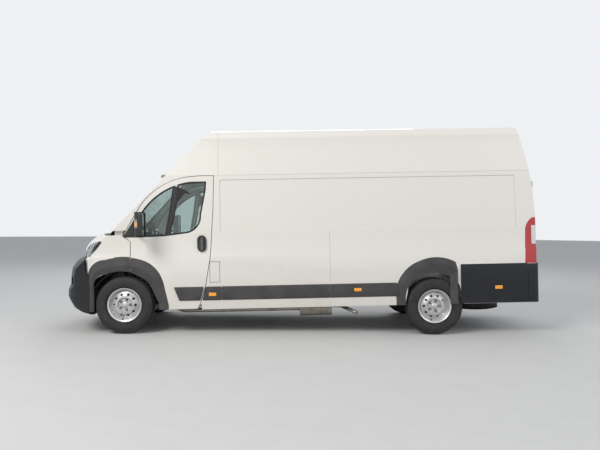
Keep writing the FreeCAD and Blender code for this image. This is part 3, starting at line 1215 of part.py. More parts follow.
spring = rod(tuple(king_at(608.5)), tuple(king_at(772)), 62).cut(rod(tuple(king_at(600)), tuple(king_at(790)), 30))
top = rod(tuple(king_at(645)), tuple(king_at(798)), 14)
cap = rod(tuple(king_at(770)), tuple(king_at(780)), 62)
MOUNT_R = 25.0
MOUNT_TOP = AXLE_Z + math.sqrt(ARCH_R ** 2 - MOUNT_R ** 2) - GAP
mount_y = king_at(MOUNT_TOP).y
top_mount = rod((FRONT_X, mount_y, MOUNT_TOP - 16), (FRONT_X, mount_y, MOUNT_TOP), MOUNT_R)
arm = plan_prism([
    (FRONT_X - 190, -400), (FRONT_X - 30, -800), (FRONT_X + 30, -800), (FRONT_X + 190, -400)], ARM_TOP - 23, ARM_TOP)
upper = spring.multiFuse([top, cap, top_mount])
subframe = box(FRONT_X - 230, FRONT_X + 230, -400, 400, 200, 262).cut(
    box(FRONT_X - 150, FRONT_X + 150, -300, 300, 190, 270))
legs = [box(x, x + 60, -480, -360, 240, raked_height(x, 440) - GAP) for x in (FRONT_X - 220, FRONT_X + 160)]
lower = subframe.multiFuse(legs + [arm] + [mirrored(s) for s in legs + [arm]])
unsprung["front_suspension"] = lower
unsprung["front_springs"] = both(upper)

rear_y = size("rear_track") / 2
stub = rod((REAR_X, -rear_y - HUB_OUT + 4, AXLE_Z), (REAR_X, -820, AXLE_Z), SPINDLE)
carrier = box(REAR_X - 40, REAR_X + 40, -835, -790, 255, AXLE_Z + 60)
beam = rod((REAR_X, -800, 290), (REAR_X, 800, 290), 38)
unsprung["rear_axle"] = beam.multiFuse([stub, carrier, mirrored(stub), mirrored(carrier)])
SPRING_Y = 460.0
leaf = side_prism([
    (REAR_X - 650, 362), (REAR_X, 308, REAR_X + 650, 390), (REAR_X + 650, 412), (REAR_X, 334, REAR_X - 650, 384)],
    -SPRING_Y - 30, -SPRING_Y + 30).cut(rod((REAR_X, -800, 290), (REAR_X, 800, 290), 38 + GAP))
block = box(REAR_X - 60, REAR_X + 60, -SPRING_Y - 30, -SPRING_Y + 30, 290, 330).cut(
    rod((REAR_X, -800, 290), (REAR_X, 800, 290), 38 + GAP))
hangers = [
    box(REAR_X - 660, REAR_X - 630, -SPRING_Y - 30, -SPRING_Y + 30, 366, raked_height(REAR_X - 660, 300) - GAP),
    box(REAR_X + 620, REAR_X + 650, -SPRING_Y - 30, -SPRING_Y + 30, 400, raked_height(REAR_X + 620, 300) - GAP),
]
springs = leaf.multiFuse(hangers + [block])
unsprung["leaf_springs"] = both(springs)

spare_x = 2600.0
spare_axis = V(spare_x, 0, MEMBER_LOW - TYRE_W - GAP / 2)
spare = doc.addObject("PartDesign::Body", "spare_wheel")
turned(spare, "spare_section", TYRE_PROFILE)
bodies["spare_wheel"] = spare
spare.Placement = RAKE.multiply(Placement(spare_axis, Rotation()))
rim_section = [V(p[-2], 0, p[-1]) for p in RIM_PROFILE]
spare_rim = Part.Face(Part.makePolygon(rim_section + [rim_section[0]])).revolve(V(), V(0, 0, 1), 360)
hub_plate = Part.makeCylinder(60, 6, V(0, 0, FACE + 7))
lift = Part.makeCylinder(12, deck_low - spare_axis.z - FACE - 7 - GAP / 2, V(0, 0, FACE + 7))
spare_rim = spare_rim.multiFuse([hub_plate, lift])
spare_rim.translate(spare_axis)
pieces["spare_rim"] = spare_rim

doc.recompute()
for name, shape in pieces.items():
    feature = doc.addObject("Part::Feature", name)
    feature.Label = name
    feature.Shape = shape
    feature.Placement = RAKE.multiply(shape.Placement)
for name, shape in unsprung.items():
    feature = doc.addObject("Part::Feature", name)
    feature.Label = name
    feature.Shape = shape
doc.recompute()

nodes = list(pieces) + list(unsprung) + list(bodies)
for thing in doc.Objects:
    if "Invalid" in thing.State or "Error" in thing.State:
        raise RuntimeError(f"{thing.Name} failed: {thing.State}")
for name in nodes:
    shape = doc.getObject(name).Shape
    if shape.isNull() or not shape.isValid():
        raise RuntimeError(f"{name} has no valid shape")
os.makedirs("parts", exist_ok=True)
for name in nodes:
    shape = doc.getObject(name).Shape
    shape.exportStep(f"parts/{name}.step")
    print(name, len(shape.Solids), round(shape.Volume / 1e9, 4))
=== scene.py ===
# %% [markdown]
# # A long, high panel van
# The van's panels, wheels and doors come packed from CAD as one fixed frame, with every piece on the body
# that carries it. This notebook gives them the finishes of the real van and adds what CAD leaves plain: tyre
# tread, wheel bolts, lamp insides, mirror glass, wipers, seals and padded seats. Lengths are metres, +Z is
# up, the nose points to -X and the left side faces -Y.

import math

import bmesh
import bpy
from mathutils import Matrix, Vector
from mathutils.bvhtree import BVHTree


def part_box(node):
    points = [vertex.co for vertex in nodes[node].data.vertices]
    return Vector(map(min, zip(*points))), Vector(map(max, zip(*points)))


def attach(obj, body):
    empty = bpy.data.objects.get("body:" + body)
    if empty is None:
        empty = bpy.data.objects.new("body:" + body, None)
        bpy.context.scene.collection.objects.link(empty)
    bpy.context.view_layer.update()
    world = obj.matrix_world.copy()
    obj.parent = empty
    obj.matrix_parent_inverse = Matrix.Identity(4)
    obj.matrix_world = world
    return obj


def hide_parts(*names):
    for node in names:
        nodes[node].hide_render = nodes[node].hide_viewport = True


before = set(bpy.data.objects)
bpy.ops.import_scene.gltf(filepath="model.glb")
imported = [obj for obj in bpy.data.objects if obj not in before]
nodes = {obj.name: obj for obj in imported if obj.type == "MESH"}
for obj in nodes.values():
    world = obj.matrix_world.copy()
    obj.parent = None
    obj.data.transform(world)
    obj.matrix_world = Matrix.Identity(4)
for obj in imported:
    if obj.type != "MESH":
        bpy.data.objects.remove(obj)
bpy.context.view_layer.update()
scene = bpy.context.scene
SIDES = (("left", -1), ("right", 1))

# %% [markdown]
# The body of an empty van stands nose down by a degree and a half, while the wheels stand square on the
# ground. New pieces on the body are easiest to draw on a level van, so one matrix turns them about the front
# axle.

# %% Level van to standing van
def turned(degrees, axis):
    return Matrix.Rotation(math.radians(degrees), 4, axis)


RAKE = -1.5
AXLE_HEIGHT = 0.372
FRONT_AXLE = Vector((-2.2335, 0, AXLE_HEIGHT))
TILT = Matrix.Translation(FRONT_AXLE) @ turned(RAKE, "Y") @ Matrix.Translation(-FRONT_AXLE)

# %% [markdown]
# ## Finishes
# A painted panel is not one colour: clear coat lies over it, dust settles low down, and the coat is a little
# uneven. Each finish starts from one shader with its even values on its own sockets, and noise is added only
# where the real surface varies.


# %% A finish to start from
def finish(name, colour, roughness, metallic=0.0, **sockets):
    material = bpy.data.materials.new(name)
    material.use_nodes = True
    shader = material.node_tree.nodes["Principled BSDF"]
    shader.inputs["Base Color"].default_value = (*colour, 1)
    shader.inputs["Roughness"].default_value = roughness
    shader.inputs["Metallic"].default_value = metallic
    for socket, value in sockets.items():
        shader.inputs[socket.replace("_", " ")].default_value = value
    return material


# %% [markdown]
# All patterns read Object coordinates, so they stay on the van in every view. A Map Range stretches the
# useful middle of a noise to the range that a finish needs.


# %% Noise and its range
def place(tree):
    return tree.nodes.new("ShaderNodeTexCoord").outputs["Object"]


def noise(tree, scale, detail=3.0, rough=0.55):
    texture = tree.nodes.new("ShaderNodeTexNoise")
    texture.inputs["Scale"].default_value = scale
    texture.inputs["Detail"].default_value = detail
    texture.inputs["Roughness"].default_value = rough
    tree.links.new(place(tree), texture.inputs["Vector"])
    return texture.outputs["Fac"]


def remap(tree, value, low, high, to_low, to_high):
    step = tree.nodes.new("ShaderNodeMapRange")
    for socket, number in zip(("From Min", "From Max", "To Min", "To Max"), (low, high, to_low, to_high)):
        step.inputs[socket].default_value = number
    tree.links.new(value, step.inputs["Value"])
    return step.outputs["Result"]


# %% [markdown]
# Three things vary on a van's surfaces: how shiny they are, their colour, and their grain. A helper for each
# adds its nodes, so one short line says what happens to a surface.


# %% Uneven shine, colour and grain
def vary_roughness(material, low, high, scale):
    tree = material.node_tree
    value = remap(tree, noise(tree, scale), 0.35, 0.65, low, high)
    tree.links.new(value, tree.nodes["Principled BSDF"].inputs["Roughness"])


def vary_colour(material, other, scale, detail=4.0, low=0.45, high=0.75, mask=None):
    """Blends the base colour towards another where the noise, times an optional mask, is high."""
    tree = material.node_tree
    shader = tree.nodes["Principled BSDF"]
    mix = tree.nodes.new("ShaderNodeMix")
    mix.data_type = "RGBA"
    mix.inputs["A"].default_value = shader.inputs["Base Color"].default_value
    mix.inputs["B"].default_value = (*other, 1)
    share = remap(tree, noise(tree, scale, detail), low, high, 0.0, 1.0)
    if mask is not None:
        both = tree.nodes.new("ShaderNodeMath")
        both.operation = "MULTIPLY"
        tree.links.new(share, both.inputs[0])
        tree.links.new(mask, both.inputs[1])
        share = both.outputs[0]
    tree.links.new(share, mix.inputs["Factor"])
    tree.links.new(mix.outputs["Result"], shader.inputs["Base Color"])


def bumped(material, height, strength, depth):
    tree = material.node_tree
    bump = tree.nodes.new("ShaderNodeBump")
    bump.inputs["Strength"].default_value = strength
    bump.inputs["Distance"].default_value = depth
    tree.links.new(height, bump.inputs["Height"])
    tree.links.new(bump.outputs["Normal"], tree.nodes["Principled BSDF"].inputs["Normal"])


def grain(material, scale, strength, depth):
    bumped(material, noise(material.node_tree, scale, 2.0), strength, depth)


def low_down(material, full_at, none_at):
    """1 near the road and 0 higher up, for dust that settles low on the body."""
    tree = material.node_tree
    split = tree.nodes.new("ShaderNodeSeparateXYZ")
    tree.links.new(place(tree), split.inputs[0])
    return remap(tree, split.outputs["Z"], full_at, none_at, 1.0, 0.0)


# %% [markdown]
# The body is a warm off-white under clear coat, with thin road dust along the sills. The lower trim is the
# dark grained plastic that vans are protected with; its moulded grain is finer than a millimetre. The bumpers
# and the cladding behind the rear wheels are darker still.

# %% Paint and plastics
paint = finish("van_paint", (0.72, 0.695, 0.645), 0.33, Coat_Weight=0.8, Coat_Roughness=0.08)
vary_colour(paint, (0.56, 0.53, 0.48), 2.2, 6.0, 0.35, 0.85, low_down(paint, 0.25, 0.95))
vary_roughness(paint, 0.26, 0.38, 1.3)
grain(paint, 260, 0.04, 0.0003)

trim_plastic = finish("grained_trim", (0.040, 0.040, 0.042), 0.6, Specular_IOR_Level=0.4)
vary_colour(trim_plastic, (0.075, 0.073, 0.070), 5.0, 6.0, 0.35, 0.85)
grain(trim_plastic, 900, 0.25, 0.0004)

bumper_plastic = finish("bumper_plastic", (0.009, 0.010, 0.013), 0.45, Specular_IOR_Level=0.35)
vary_colour(bumper_plastic, (0.026, 0.026, 0.028), 4.0, 6.0, 0.4, 0.9, low_down(bumper_plastic, 0.2, 0.9))
grain(bumper_plastic, 700, 0.15, 0.0003)

black_plastic = finish("black_moulding", (0.014, 0.014, 0.015), 0.5)
vary_roughness(black_plastic, 0.42, 0.58, 9.0)
grain(black_plastic, 800, 0.18, 0.0003)

cab_plastic = finish("cab_moulding", (0.055, 0.056, 0.060), 0.65)
vary_colour(cab_plastic, (0.075, 0.075, 0.078), 12.0)
grain(cab_plastic, 1100, 0.3, 0.0004)

rubber = finish("seal_rubber", (0.012, 0.012, 0.012), 0.75)
vary_roughness(rubber, 0.65, 0.85, 30.0)
print("paint and plastics:", len(bpy.data.materials))

# %% [markdown]
# Glass on a van is a thin pane with a green edge tint. Lamp covers are clear or red plastic over bright
# reflectors, and the ribs moulded behind a red lens catch the light in rows.

# %% Glass and reflector finishes
glass = finish("tinted_glass", (0.62, 0.72, 0.70), 0.02, Transmission_Weight=0.93, IOR=1.45)
vary_roughness(glass, 0.01, 0.04, 3.0)
clear_lens = finish("clear_lens", (0.93, 0.95, 0.97), 0.03, Transmission_Weight=1.0, IOR=1.3)
vary_roughness(clear_lens, 0.02, 0.06, 12.0)
chrome = finish("reflector", (0.85, 0.86, 0.88), 0.10, 1.0)
vary_roughness(chrome, 0.06, 0.16, 20.0)

# %% [markdown]
# The ribs of a lens are a wave texture used as bump. At a scale of 1 the wave repeats every 0.314 m, so the
# scale follows from the pitch of the ribs.

# %% Ribbed lenses and mirror
WAVE_LENGTH = 0.314


def ribbed(name, colour, direction, pitch):
    """A lens whose inner face is moulded in fine ribs."""
    material = finish(name, colour, 0.14, Coat_Weight=1.0, Coat_Roughness=0.05)
    tree = material.node_tree
    wave = tree.nodes.new("ShaderNodeTexWave")
    wave.bands_direction = direction
    wave.inputs["Scale"].default_value = WAVE_LENGTH / pitch
    tree.links.new(place(tree), wave.inputs["Vector"])
    bumped(material, wave.outputs["Fac"], 0.35, 0.001)
    return material


red_lens = ribbed("red_lens", (0.42, 0.012, 0.015), "Z", 0.008)
amber_lens = ribbed("amber_lens", (0.95, 0.36, 0.02), "X", 0.006)
white_lens = ribbed("white_lens", (0.60, 0.61, 0.62), "Z", 0.008)
smoke_lens = ribbed("smoke_lens", (0.20, 0.205, 0.21), "Z", 0.008)
mirror_face = finish("mirror_face", (0.80, 0.83, 0.86), 0.03, 1.0)
vary_roughness(mirror_face, 0.02, 0.05, 6.0)
print("finishes so far:", len(bpy.data.materials))

# %% [markdown]
# The wheels are pressed steel sprayed silver, dulled by brake dust. Under the floor, panels and axles carry
# black wax or grey primer, with road film on them. Tyres are grey-black and the seats are woven cloth.

# %% Metals, tyre and cloth
wheel_silver = finish("wheel_silver", (0.56, 0.565, 0.57), 0.36, 0.6, Coat_Weight=0.3)
vary_colour(wheel_silver, (0.40, 0.395, 0.385), 16.0, 6.0, 0.45, 0.9)
vary_roughness(wheel_silver, 0.3, 0.48, 18.0)

bolt_steel = finish("bolt_steel", (0.30, 0.295, 0.29), 0.42, 0.9)
vary_colour(bolt_steel, (0.22, 0.15, 0.10), 90.0)

underbody = finish("underbody_wax", (0.035, 0.035, 0.036), 0.55)
vary_colour(underbody, (0.11, 0.10, 0.09), 7.0, 8.0, 0.4, 0.8)
grain(underbody, 120, 0.3, 0.001)

primer = finish("floor_primer", (0.42, 0.42, 0.41), 0.55)
vary_colour(primer, (0.30, 0.29, 0.28), 5.0, 8.0, 0.45, 0.8)
grain(primer, 90, 0.1, 0.0006)

cast_metal = finish("cast_metal", (0.22, 0.22, 0.22), 0.6, 0.6)
vary_colour(cast_metal, (0.16, 0.11, 0.08), 14.0, 8.0)
grain(cast_metal, 160, 0.4, 0.001)

exhaust_steel = finish("exhaust_steel", (0.38, 0.36, 0.33), 0.4, 0.9)
vary_colour(exhaust_steel, (0.24, 0.16, 0.10), 9.0, 8.0, 0.4, 0.75)

tyre_rubber = finish("tyre_rubber", (0.017, 0.017, 0.018), 0.72, Specular_IOR_Level=0.45)
vary_colour(tyre_rubber, (0.038, 0.0375, 0.037), 10.0, 7.0, 0.4, 0.9)
grain(tyre_rubber, 320, 0.3, 0.0006)

seat_cloth = finish("seat_cloth", (0.035, 0.037, 0.042), 0.9, Sheen_Weight=0.4, Sheen_Roughness=0.5)
vary_colour(seat_cloth, (0.075, 0.078, 0.085), 600.0, 2.0)
grain(seat_cloth, 900, 0.5, 0.0008)
print("finishes so far:", len(bpy.data.materials))

# %% [markdown]
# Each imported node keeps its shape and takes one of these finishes.

# %% Which finish a node gets
PAINTED_STARTS = (
    "side_front", "side_rear", "roof", "sliding", "cab_frame", "front_wings", "front_door", "rear_door",
    "bonnet", "fuel_flap")
DRESS = {
    paint: [n for n in nodes if n.startswith(PAINTED_STARTS)],
    trim_plastic: ["side_trim", "door_trim_left", "door_trim_right"],
    bumper_plastic: ["front_bumper", "rear_bumper"],
    black_plastic: ["grille", "cowl", "arch_liners", "mirror_left", "mirror_right", "fuel_tank"],
    cab_plastic: ["dashboard", "steering_wheel", "seat_frames"],
    glass: ["windscreen", "door_glass_left", "door_glass_right"],
    red_lens: ["tail_lamps"],
    clear_lens: ["headlamps"],
    primer: ["bulkhead", "floor_pan", "floor_members", "front_members", "wheel_boxes", "cab_floor"],
    underbody: ["front_suspension", "front_springs", "rear_axle", "leaf_springs"],
    cast_metal: ["engine_block", "knuckle_left", "knuckle_right"],
    exhaust_steel: ["exhaust"],
    wheel_silver: [n for n in nodes if n.startswith("wheel_")] + ["spare_rim"],
    tyre_rubber: [n for n in nodes if n.startswith("tyre_")] + ["spare_wheel"],
    seat_cloth: ["seat_pads"],
}

# %% [markdown]
# Facets come from CAD as loose triangles, so a Weld joins them and an edge split keeps real corners sharp
# while curved panels shade smooth. Moulded trim splits at a lower angle, because its ridges are soft but have
# to show.

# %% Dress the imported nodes
PANEL_SPLIT = 28.0
TRIM_SPLIT = 13.0
CAD_MERGE = 0.00002


def smooth(piece, angle):
    for face in piece.data.polygons:
        face.use_smooth = True
    split = piece.modifiers.new("corners", "EDGE_SPLIT")
    split.split_angle = math.radians(angle)


for material, names in DRESS.items():
    for name in names:
        part = nodes[name]
        part.data.materials.clear()
        part.data.materials.append(material)
        weld = part.modifiers.new("weld", "WELD")
        weld.merge_threshold = CAD_MERGE
        smooth(part, TRIM_SPLIT if material in (trim_plastic, bumper_plastic) else PANEL_SPLIT)
print("dressed", sum(len(names) for names in DRESS.values()), "of", len(nodes))

# %% [markdown]
# ## Ways to make a piece
# Every added piece starts as a bmesh, is shaped by operators and ends as one object at the origin. Doubles
# are merged and faces turned outwards before the mesh is written, because spinning and mirroring can turn a
# shape inside out. Pieces on the body are drawn on the level van and leaned with it.

# %% Finish a piece
MERGE = 0.00001


def to_object(name, bm):
    """Writes a bmesh to a new object of the scene."""
    mesh = bpy.data.meshes.new(name)
    bm.to_mesh(mesh)
    bm.free()
    piece = bpy.data.objects.new(name, mesh)
    scene.collection.objects.link(piece)
    return piece


def made(name, bm, material, body, level=True, angle=32.0):
    bmesh.ops.remove_doubles(bm, verts=bm.verts, dist=MERGE)
    bmesh.ops.recalc_face_normals(bm, faces=bm.faces)
    if level:
        bm.transform(TILT)
    piece = to_object(name, bm)
    piece.data.materials.append(material)
    smooth(piece, angle)
    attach(piece, body)
    return piece


# %% [markdown]
# Most small pieces are a block with rounded edges, a profile spun as on a lathe, a strip extruded along a few
# points, or cones on one axis.


# %% Blocks, turned shapes and strips
def block(bm, low, high, bevel=0.0, segments=2):
    """A box between two corners with rounded edges."""
    middle = (Vector(low) + Vector(high)) / 2
    size = Vector(high) - Vector(low)
    scale = Matrix.Diagonal((*size, 1))
    verts = bmesh.ops.create_cube(bm, size=1, matrix=Matrix.Translation(middle) @ scale)["verts"]
    edges = {edge for vert in verts for edge in vert.link_edges}
    if bevel:
        bmesh.ops.bevel(
            bm, geom=list(edges), offset=bevel, segments=segments, profile=0.5, affect="EDGES", material=-1)


def lathe(bm, profile, centre, hand, steps=64, closed=False):
    """Spins (radius, outward) points about the wheel axis through a centre; hand is -1 on the left."""
    x, y, z = centre
    verts = [bm.verts.new((x + radius, y + hand * out, z)) for radius, out in profile]
    pairs = list(zip(verts, verts[1:])) + ([(verts[-1], verts[0])] if closed else [])
    edges = [bm.edges.new(pair) for pair in pairs]
    bmesh.ops.spin(
        bm, geom=verts + edges, cent=centre, axis=(0, 1, 0), angle=math.tau, steps=steps, use_merge=True)


def swept(bm, points, half_width, half_height, up=(0, 0, 1)):
    """Extrudes a small rectangle from point to point."""
    points = [Vector(point) for point in points]
    along = (points[1] - points[0]).normalized()
    side = along.cross(Vector(up)).normalized()
    top = side.cross(along)
    corners = [bm.verts.new(points[0] + side * a * half_width + top * b * half_height)
               for a, b in ((-1, -1), (1, -1), (1, 1), (-1, 1))]
    face = bm.faces.new(corners)
    for start, end in zip(points, points[1:]):
        grown = bmesh.ops.extrude_face_region(bm, geom=[face])["geom"]
        face = next(item for item in grown if isinstance(item, bmesh.types.BMFace))
        bmesh.ops.translate(bm, vec=end - start, verts=face.verts[:])
        face.normal_update()


def stacked_cones(bm, rings, segments, where):
    """Cones on one axis, each (low radius, high radius, low, high)."""
    for wide, narrow, low, high in rings:
        bmesh.ops.create_cone(
            bm, cap_ends=True, segments=segments, radius1=wide, radius2=narrow, depth=high - low,
            matrix=where @ Matrix.Translation((0, 0, (low + high) / 2)))


# %% [markdown]
# A fitting has to sit on the panel that carries it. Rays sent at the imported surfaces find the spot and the
# way the panel faces there, so no fitting hangs in the air.


# %% Find a spot on the van
def skin(*names):
    """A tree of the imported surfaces, for finding where a piece sits on them."""
    bm = bmesh.new()
    for name in names:
        bm.from_mesh(nodes[name].data)
    tree = BVHTree.FromBMesh(bm)
    bm.free()
    return tree


def hit(tree, origin, direction):
    spot, normal, _, _ = tree.ray_cast(Vector(origin), Vector(direction))
    return spot, normal


def facing(spot, normal, up):
    """A matrix that puts +Z of a drawn piece along a surface's normal at a spot."""
    return Matrix.Translation(spot) @ normal.to_track_quat("Z", up).to_matrix().to_4x4()


# %% [markdown]
# ## Tyres
# A van tyre has blocks of rubber parted by grooves, lugs that run over the shoulder, and a rib that guards
# the rim. Its section is drawn once as (radius, distance from the middle), outside and inside.

# %% Section of a tyre
WHEELS = {
    "front_left": (Vector((-2.2335, -0.905, AXLE_HEIGHT)), -1),
    "front_right": (Vector((-2.2335, 0.905, AXLE_HEIGHT)), 1),
    "rear_left": (Vector((1.8015, -0.895, AXLE_HEIGHT)), -1),
    "rear_right": (Vector((1.8015, 0.895, AXLE_HEIGHT)), 1),
}
FLOOR_OF_TREAD = 0.3648
TREAD_HALF = 0.078
CROWN_FROM = 0.026
CROWN = 12
TREAD = [(FLOOR_OF_TREAD - CROWN * max(0.0, a - CROWN_FROM) ** 2, a) for a in (TREAD_HALF, 0.052, 0.026)]
OUTSIDE = [
    (0.2053, 0.068), (0.221, 0.069), (0.231, 0.083), (0.2385, 0.094), (0.2405, 0.1045), (0.2445, 0.1085),
    (0.2490, 0.1085), (0.2510, 0.1060), (0.262, 0.1078), (0.275, 0.1100), (0.290, 0.1108), (0.305, 0.1100),
    (0.3140, 0.1088), (0.3150, 0.1072), (0.3215, 0.1060), (0.3225, 0.1072), (0.332, 0.1045), (0.343, 0.1005),
]
SHOULDER = [(0.350, 0.096), (0.3605, 0.0865)]
INSIDE = [
    (0.354, 0.066), (0.347, 0.084), (0.328, 0.093), (0.290, 0.098), (0.244, 0.084), (0.222, 0.050),
    (0.2053, 0.040),
]
print("points in half a section:", len(OUTSIDE + SHOULDER + TREAD + INSIDE))

# %% [markdown]
# The section is spun about the axle at the depth of the grooves, and then each tread face is inset on its own
# and lifted, which leaves grooves both ways. Turning the points a little more towards the shoulder slants the
# blocks, because that sheds water. The lugs on the shoulder are made the same way, but shallower.

# %% Spin a tyre and lift its blocks
TREAD_RADIUS = 0.3605
LUG_RADII = (0.350, 0.3615)
LUG_REACH = 0.1
SLANT_FROM = 0.345
SLANT = 0.9


def tyre(name, centre, hand, body, steps=88):
    half = OUTSIDE + SHOULDER + TREAD
    outer = half + [(FLOOR_OF_TREAD, 0.0)] + [(r, -a) for r, a in reversed(half)]
    inner = [(r, -a) for r, a in reversed(INSIDE)] + INSIDE
    bm = bmesh.new()
    lathe(bm, outer + inner, centre, hand, steps, closed=True)
    bmesh.ops.remove_doubles(bm, verts=bm.verts, dist=MERGE)
    bmesh.ops.recalc_face_normals(bm, faces=bm.faces)
    pitch = math.tau / steps
    for vert in bm.verts:
        radius = Vector((vert.co.x - centre.x, vert.co.z - centre.z)).length
        out = abs(vert.co.y - centre.y)
        if radius > SLANT_FROM and out < LUG_REACH:
            slant = Matrix.Rotation(pitch * SLANT * out / TREAD_HALF, 3, "Y")
            vert.co = centre + slant @ (vert.co - centre)

    treads, lugs = [], []
    for face in bm.faces:
        middle = face.calc_center_median() - centre
        radius, out = math.hypot(middle.x, middle.z), abs(middle.y)
        if radius > TREAD_RADIUS and out < TREAD_HALF:
            treads.append(face)
        elif LUG_RADII[0] < radius < LUG_RADII[1] and TREAD_HALF < out < LUG_REACH:
            lugs.append(face)
    bmesh.ops.inset_individual(bm, faces=treads, thickness=0.0026, depth=0.0069)
    bmesh.ops.inset_individual(bm, faces=lugs, thickness=0.0022, depth=0.0042)
    return made(name, bm, tyre_rubber, body, level=False, angle=20.0), len(treads)


# %% [markdown]
# Each road tyre takes the place of the plain one from CAD. The spare is the same tyre, laid flat under the
# floor.

# %% Four road tyres and the spare
for corner, (centre, hand) in WHEELS.items():
    piece, count = tyre("tread_" + corner, centre, hand, "wheel_" + corner)
    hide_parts("tyre_" + corner)
print("tread blocks on a tyre:", count)

spare_low, spare_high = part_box("spare_wheel")
spare, _ = tyre("spare_tread", Vector((0, 0, 0)), 1, "body")
spare.data.transform(
    Matrix.Translation((spare_low + spare_high) / 2) @ turned(RAKE, "Y") @ turned(90, "X"))
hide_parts("spare_wheel")

# %% [markdown]
# ## What is bolted to a wheel
# Five hexagon bolts hold the wheel in dark cups, a pressed cap keeps dirt from the hub, and a rubber valve
# sits in the rim. They are turned from profiles of (radius, distance out), and the heads of the bolts are
# cones with six sides. They are small, but a wheel looks unfinished without them.

# %% Profiles of bolt, cap and valve
BOLTS = 5
BOLT_CIRCLE = 0.065
CUP = [(0.0, 0.0525), (0.0135, 0.0525), (0.0165, 0.0535), (0.0172, 0.0515)]
COLLAR = [(0.0128, 0.053), (0.0128, 0.0555), (0.0110, 0.0575), (0.0, 0.0575)]
HEXAGON = [(0.056, 0.070, 0.0102, 0.0102), (0.070, 0.0725, 0.0102, 0.0075)]
CAP = [
    (0.0, 0.0755), (0.012, 0.0750), (0.020, 0.0725), (0.0285, 0.0700), (0.0300, 0.0668), (0.0345, 0.0655),
    (0.0395, 0.0600), (0.0402, 0.0525),
]
VALVE_CIRCLE = 0.1885
VALVE_ANGLE = math.radians(-100)
VALVE = [
    (0.0, 0.072), (0.0030, 0.0715), (0.0036, 0.066), (0.0036, 0.060), (0.0048, 0.058), (0.0052, 0.040),
    (0.0075, 0.034), (0.0075, 0.028),
]


def round_wheel(centre, radius, angle):
    return centre + Vector((math.cos(angle) * radius, 0, math.sin(angle) * radius))


# %% [markdown]
# They ride on the wheel, so they turn and steer with it. A hand of -1 on the left and 1 on the right puts
# each profile on the outer side of its wheel.

# %% Bolts, hub caps and valves
for corner, (centre, hand) in WHEELS.items():
    body = "wheel_" + corner
    cups, bolts = bmesh.new(), bmesh.new()
    for turn in range(BOLTS):
        spot = round_wheel(centre, BOLT_CIRCLE, math.tau * turn / BOLTS)
        lathe(cups, CUP, spot, hand, 20)
        lathe(bolts, COLLAR, spot, hand, 20)
        for low, high, wide, narrow in HEXAGON:
            seat = Matrix.Translation(spot + Vector((0, hand * (low + high) / 2, 0)))
            bmesh.ops.create_cone(
                bolts, cap_ends=True, segments=6, radius1=wide, radius2=narrow, depth=high - low,
                matrix=seat @ turned(90 * -hand, "X"))
    made("bolt_cups_" + corner, cups, black_plastic, body, level=False)
    made("wheel_bolts_" + corner, bolts, bolt_steel, body, level=False, angle=25.0)
    cap = bmesh.new()
    lathe(cap, CAP, centre, hand, 40)
    made("hub_cap_" + corner, cap, wheel_silver, body, level=False)
    valve = bmesh.new()
    lathe(valve, VALVE, round_wheel(centre, VALVE_CIRCLE, VALVE_ANGLE), hand, 16)
    made("tyre_valve_" + corner, valve, rubber, body, level=False)
print("bolts", BOLTS * len(WHEELS))

# %% [markdown]
# Behind a steel wheel sits the brake disc, rusty at its rim and bright where the pads run. In CAD it is
# turned in one piece with the wheel, so those faces get a second finish by their place.

# %% Brake disc faces of the wheels
DISC_FRONT = -0.003
DISC_RADIUS = 0.152
brake_disc = finish("brake_disc", (0.34, 0.33, 0.32), 0.36, 0.9)
vary_colour(brake_disc, (0.26, 0.15, 0.08), 30.0, 5.0, 0.45, 0.8)


def refinish(name, material, chosen):
    """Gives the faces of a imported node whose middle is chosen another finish; says how many they are."""
    mesh = nodes[name].data
    mesh.materials.append(material)
    count = 0
    for face in mesh.polygons:
        if chosen(face.center):
            face.material_index = len(mesh.materials) - 1
            count += 1
    return count


for corner, (centre, hand) in WHEELS.items():
    def on_disc(middle):
        offset = middle - centre
        return hand * offset.y < DISC_FRONT and math.hypot(offset.x, offset.z) < DISC_RADIUS

    count = refinish("wheel_" + corner, brake_disc, on_disc)
print("faces of a brake disc:", count)

# %% [markdown]
# ## Headlamps
# A headlamp is a thin clear cover over a dark housing with bright bowls in it. The cover is cut from the
# lamp's outer skin and thickened; the rest of the skin, moved in a little, lines the housing.

# %% Cover and housing
OUTWARD = 0.15
lamp_housing = finish("lamp_housing", (0.055, 0.058, 0.064), 0.28, 0.3)
vary_roughness(lamp_housing, 0.22, 0.36, 25.0)


def copied(node):
    """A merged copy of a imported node's surface."""
    bm = bmesh.new()
    bm.from_mesh(nodes[node].data)
    bmesh.ops.remove_doubles(bm, verts=bm.verts, dist=CAD_MERGE)
    return bm


def lamp_skin(outer):
    """The faces of both lamps that look out to their side, or else all the others."""
    bm = copied("headlamps")
    bmesh.ops.recalc_face_normals(bm, faces=bm.faces)
    bm.normal_update()
    wrong = [f for f in bm.faces
             if (f.normal.y * math.copysign(1, f.calc_center_median().y) > OUTWARD) != outer]
    bmesh.ops.delete(bm, geom=wrong, context="FACES")
    return bm


bm = lamp_skin(True)
bmesh.ops.solidify(bm, geom=bm.faces[:], thickness=0.0025)
cover = made("headlamp_cover", bm, clear_lens, "body", level=False)
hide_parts("headlamps")
bm = lamp_skin(False)
bm.normal_update()
for vert in bm.verts:
    vert.co -= vert.normal * 0.002
bmesh.ops.solidify(bm, geom=bm.faces[:], thickness=0.0015)
housing = made("headlamp_housing", bm, lamp_housing, "body", level=False)
print("cover", len(cover.data.polygons), "housing", len(housing.data.polygons), "faces")

# %% [markdown]
# A reflector is a parabola spun about the way its lamp looks, with the bulb near its focus. A ray finds the
# cover in front of each bowl, and the bowl sits a little behind it.

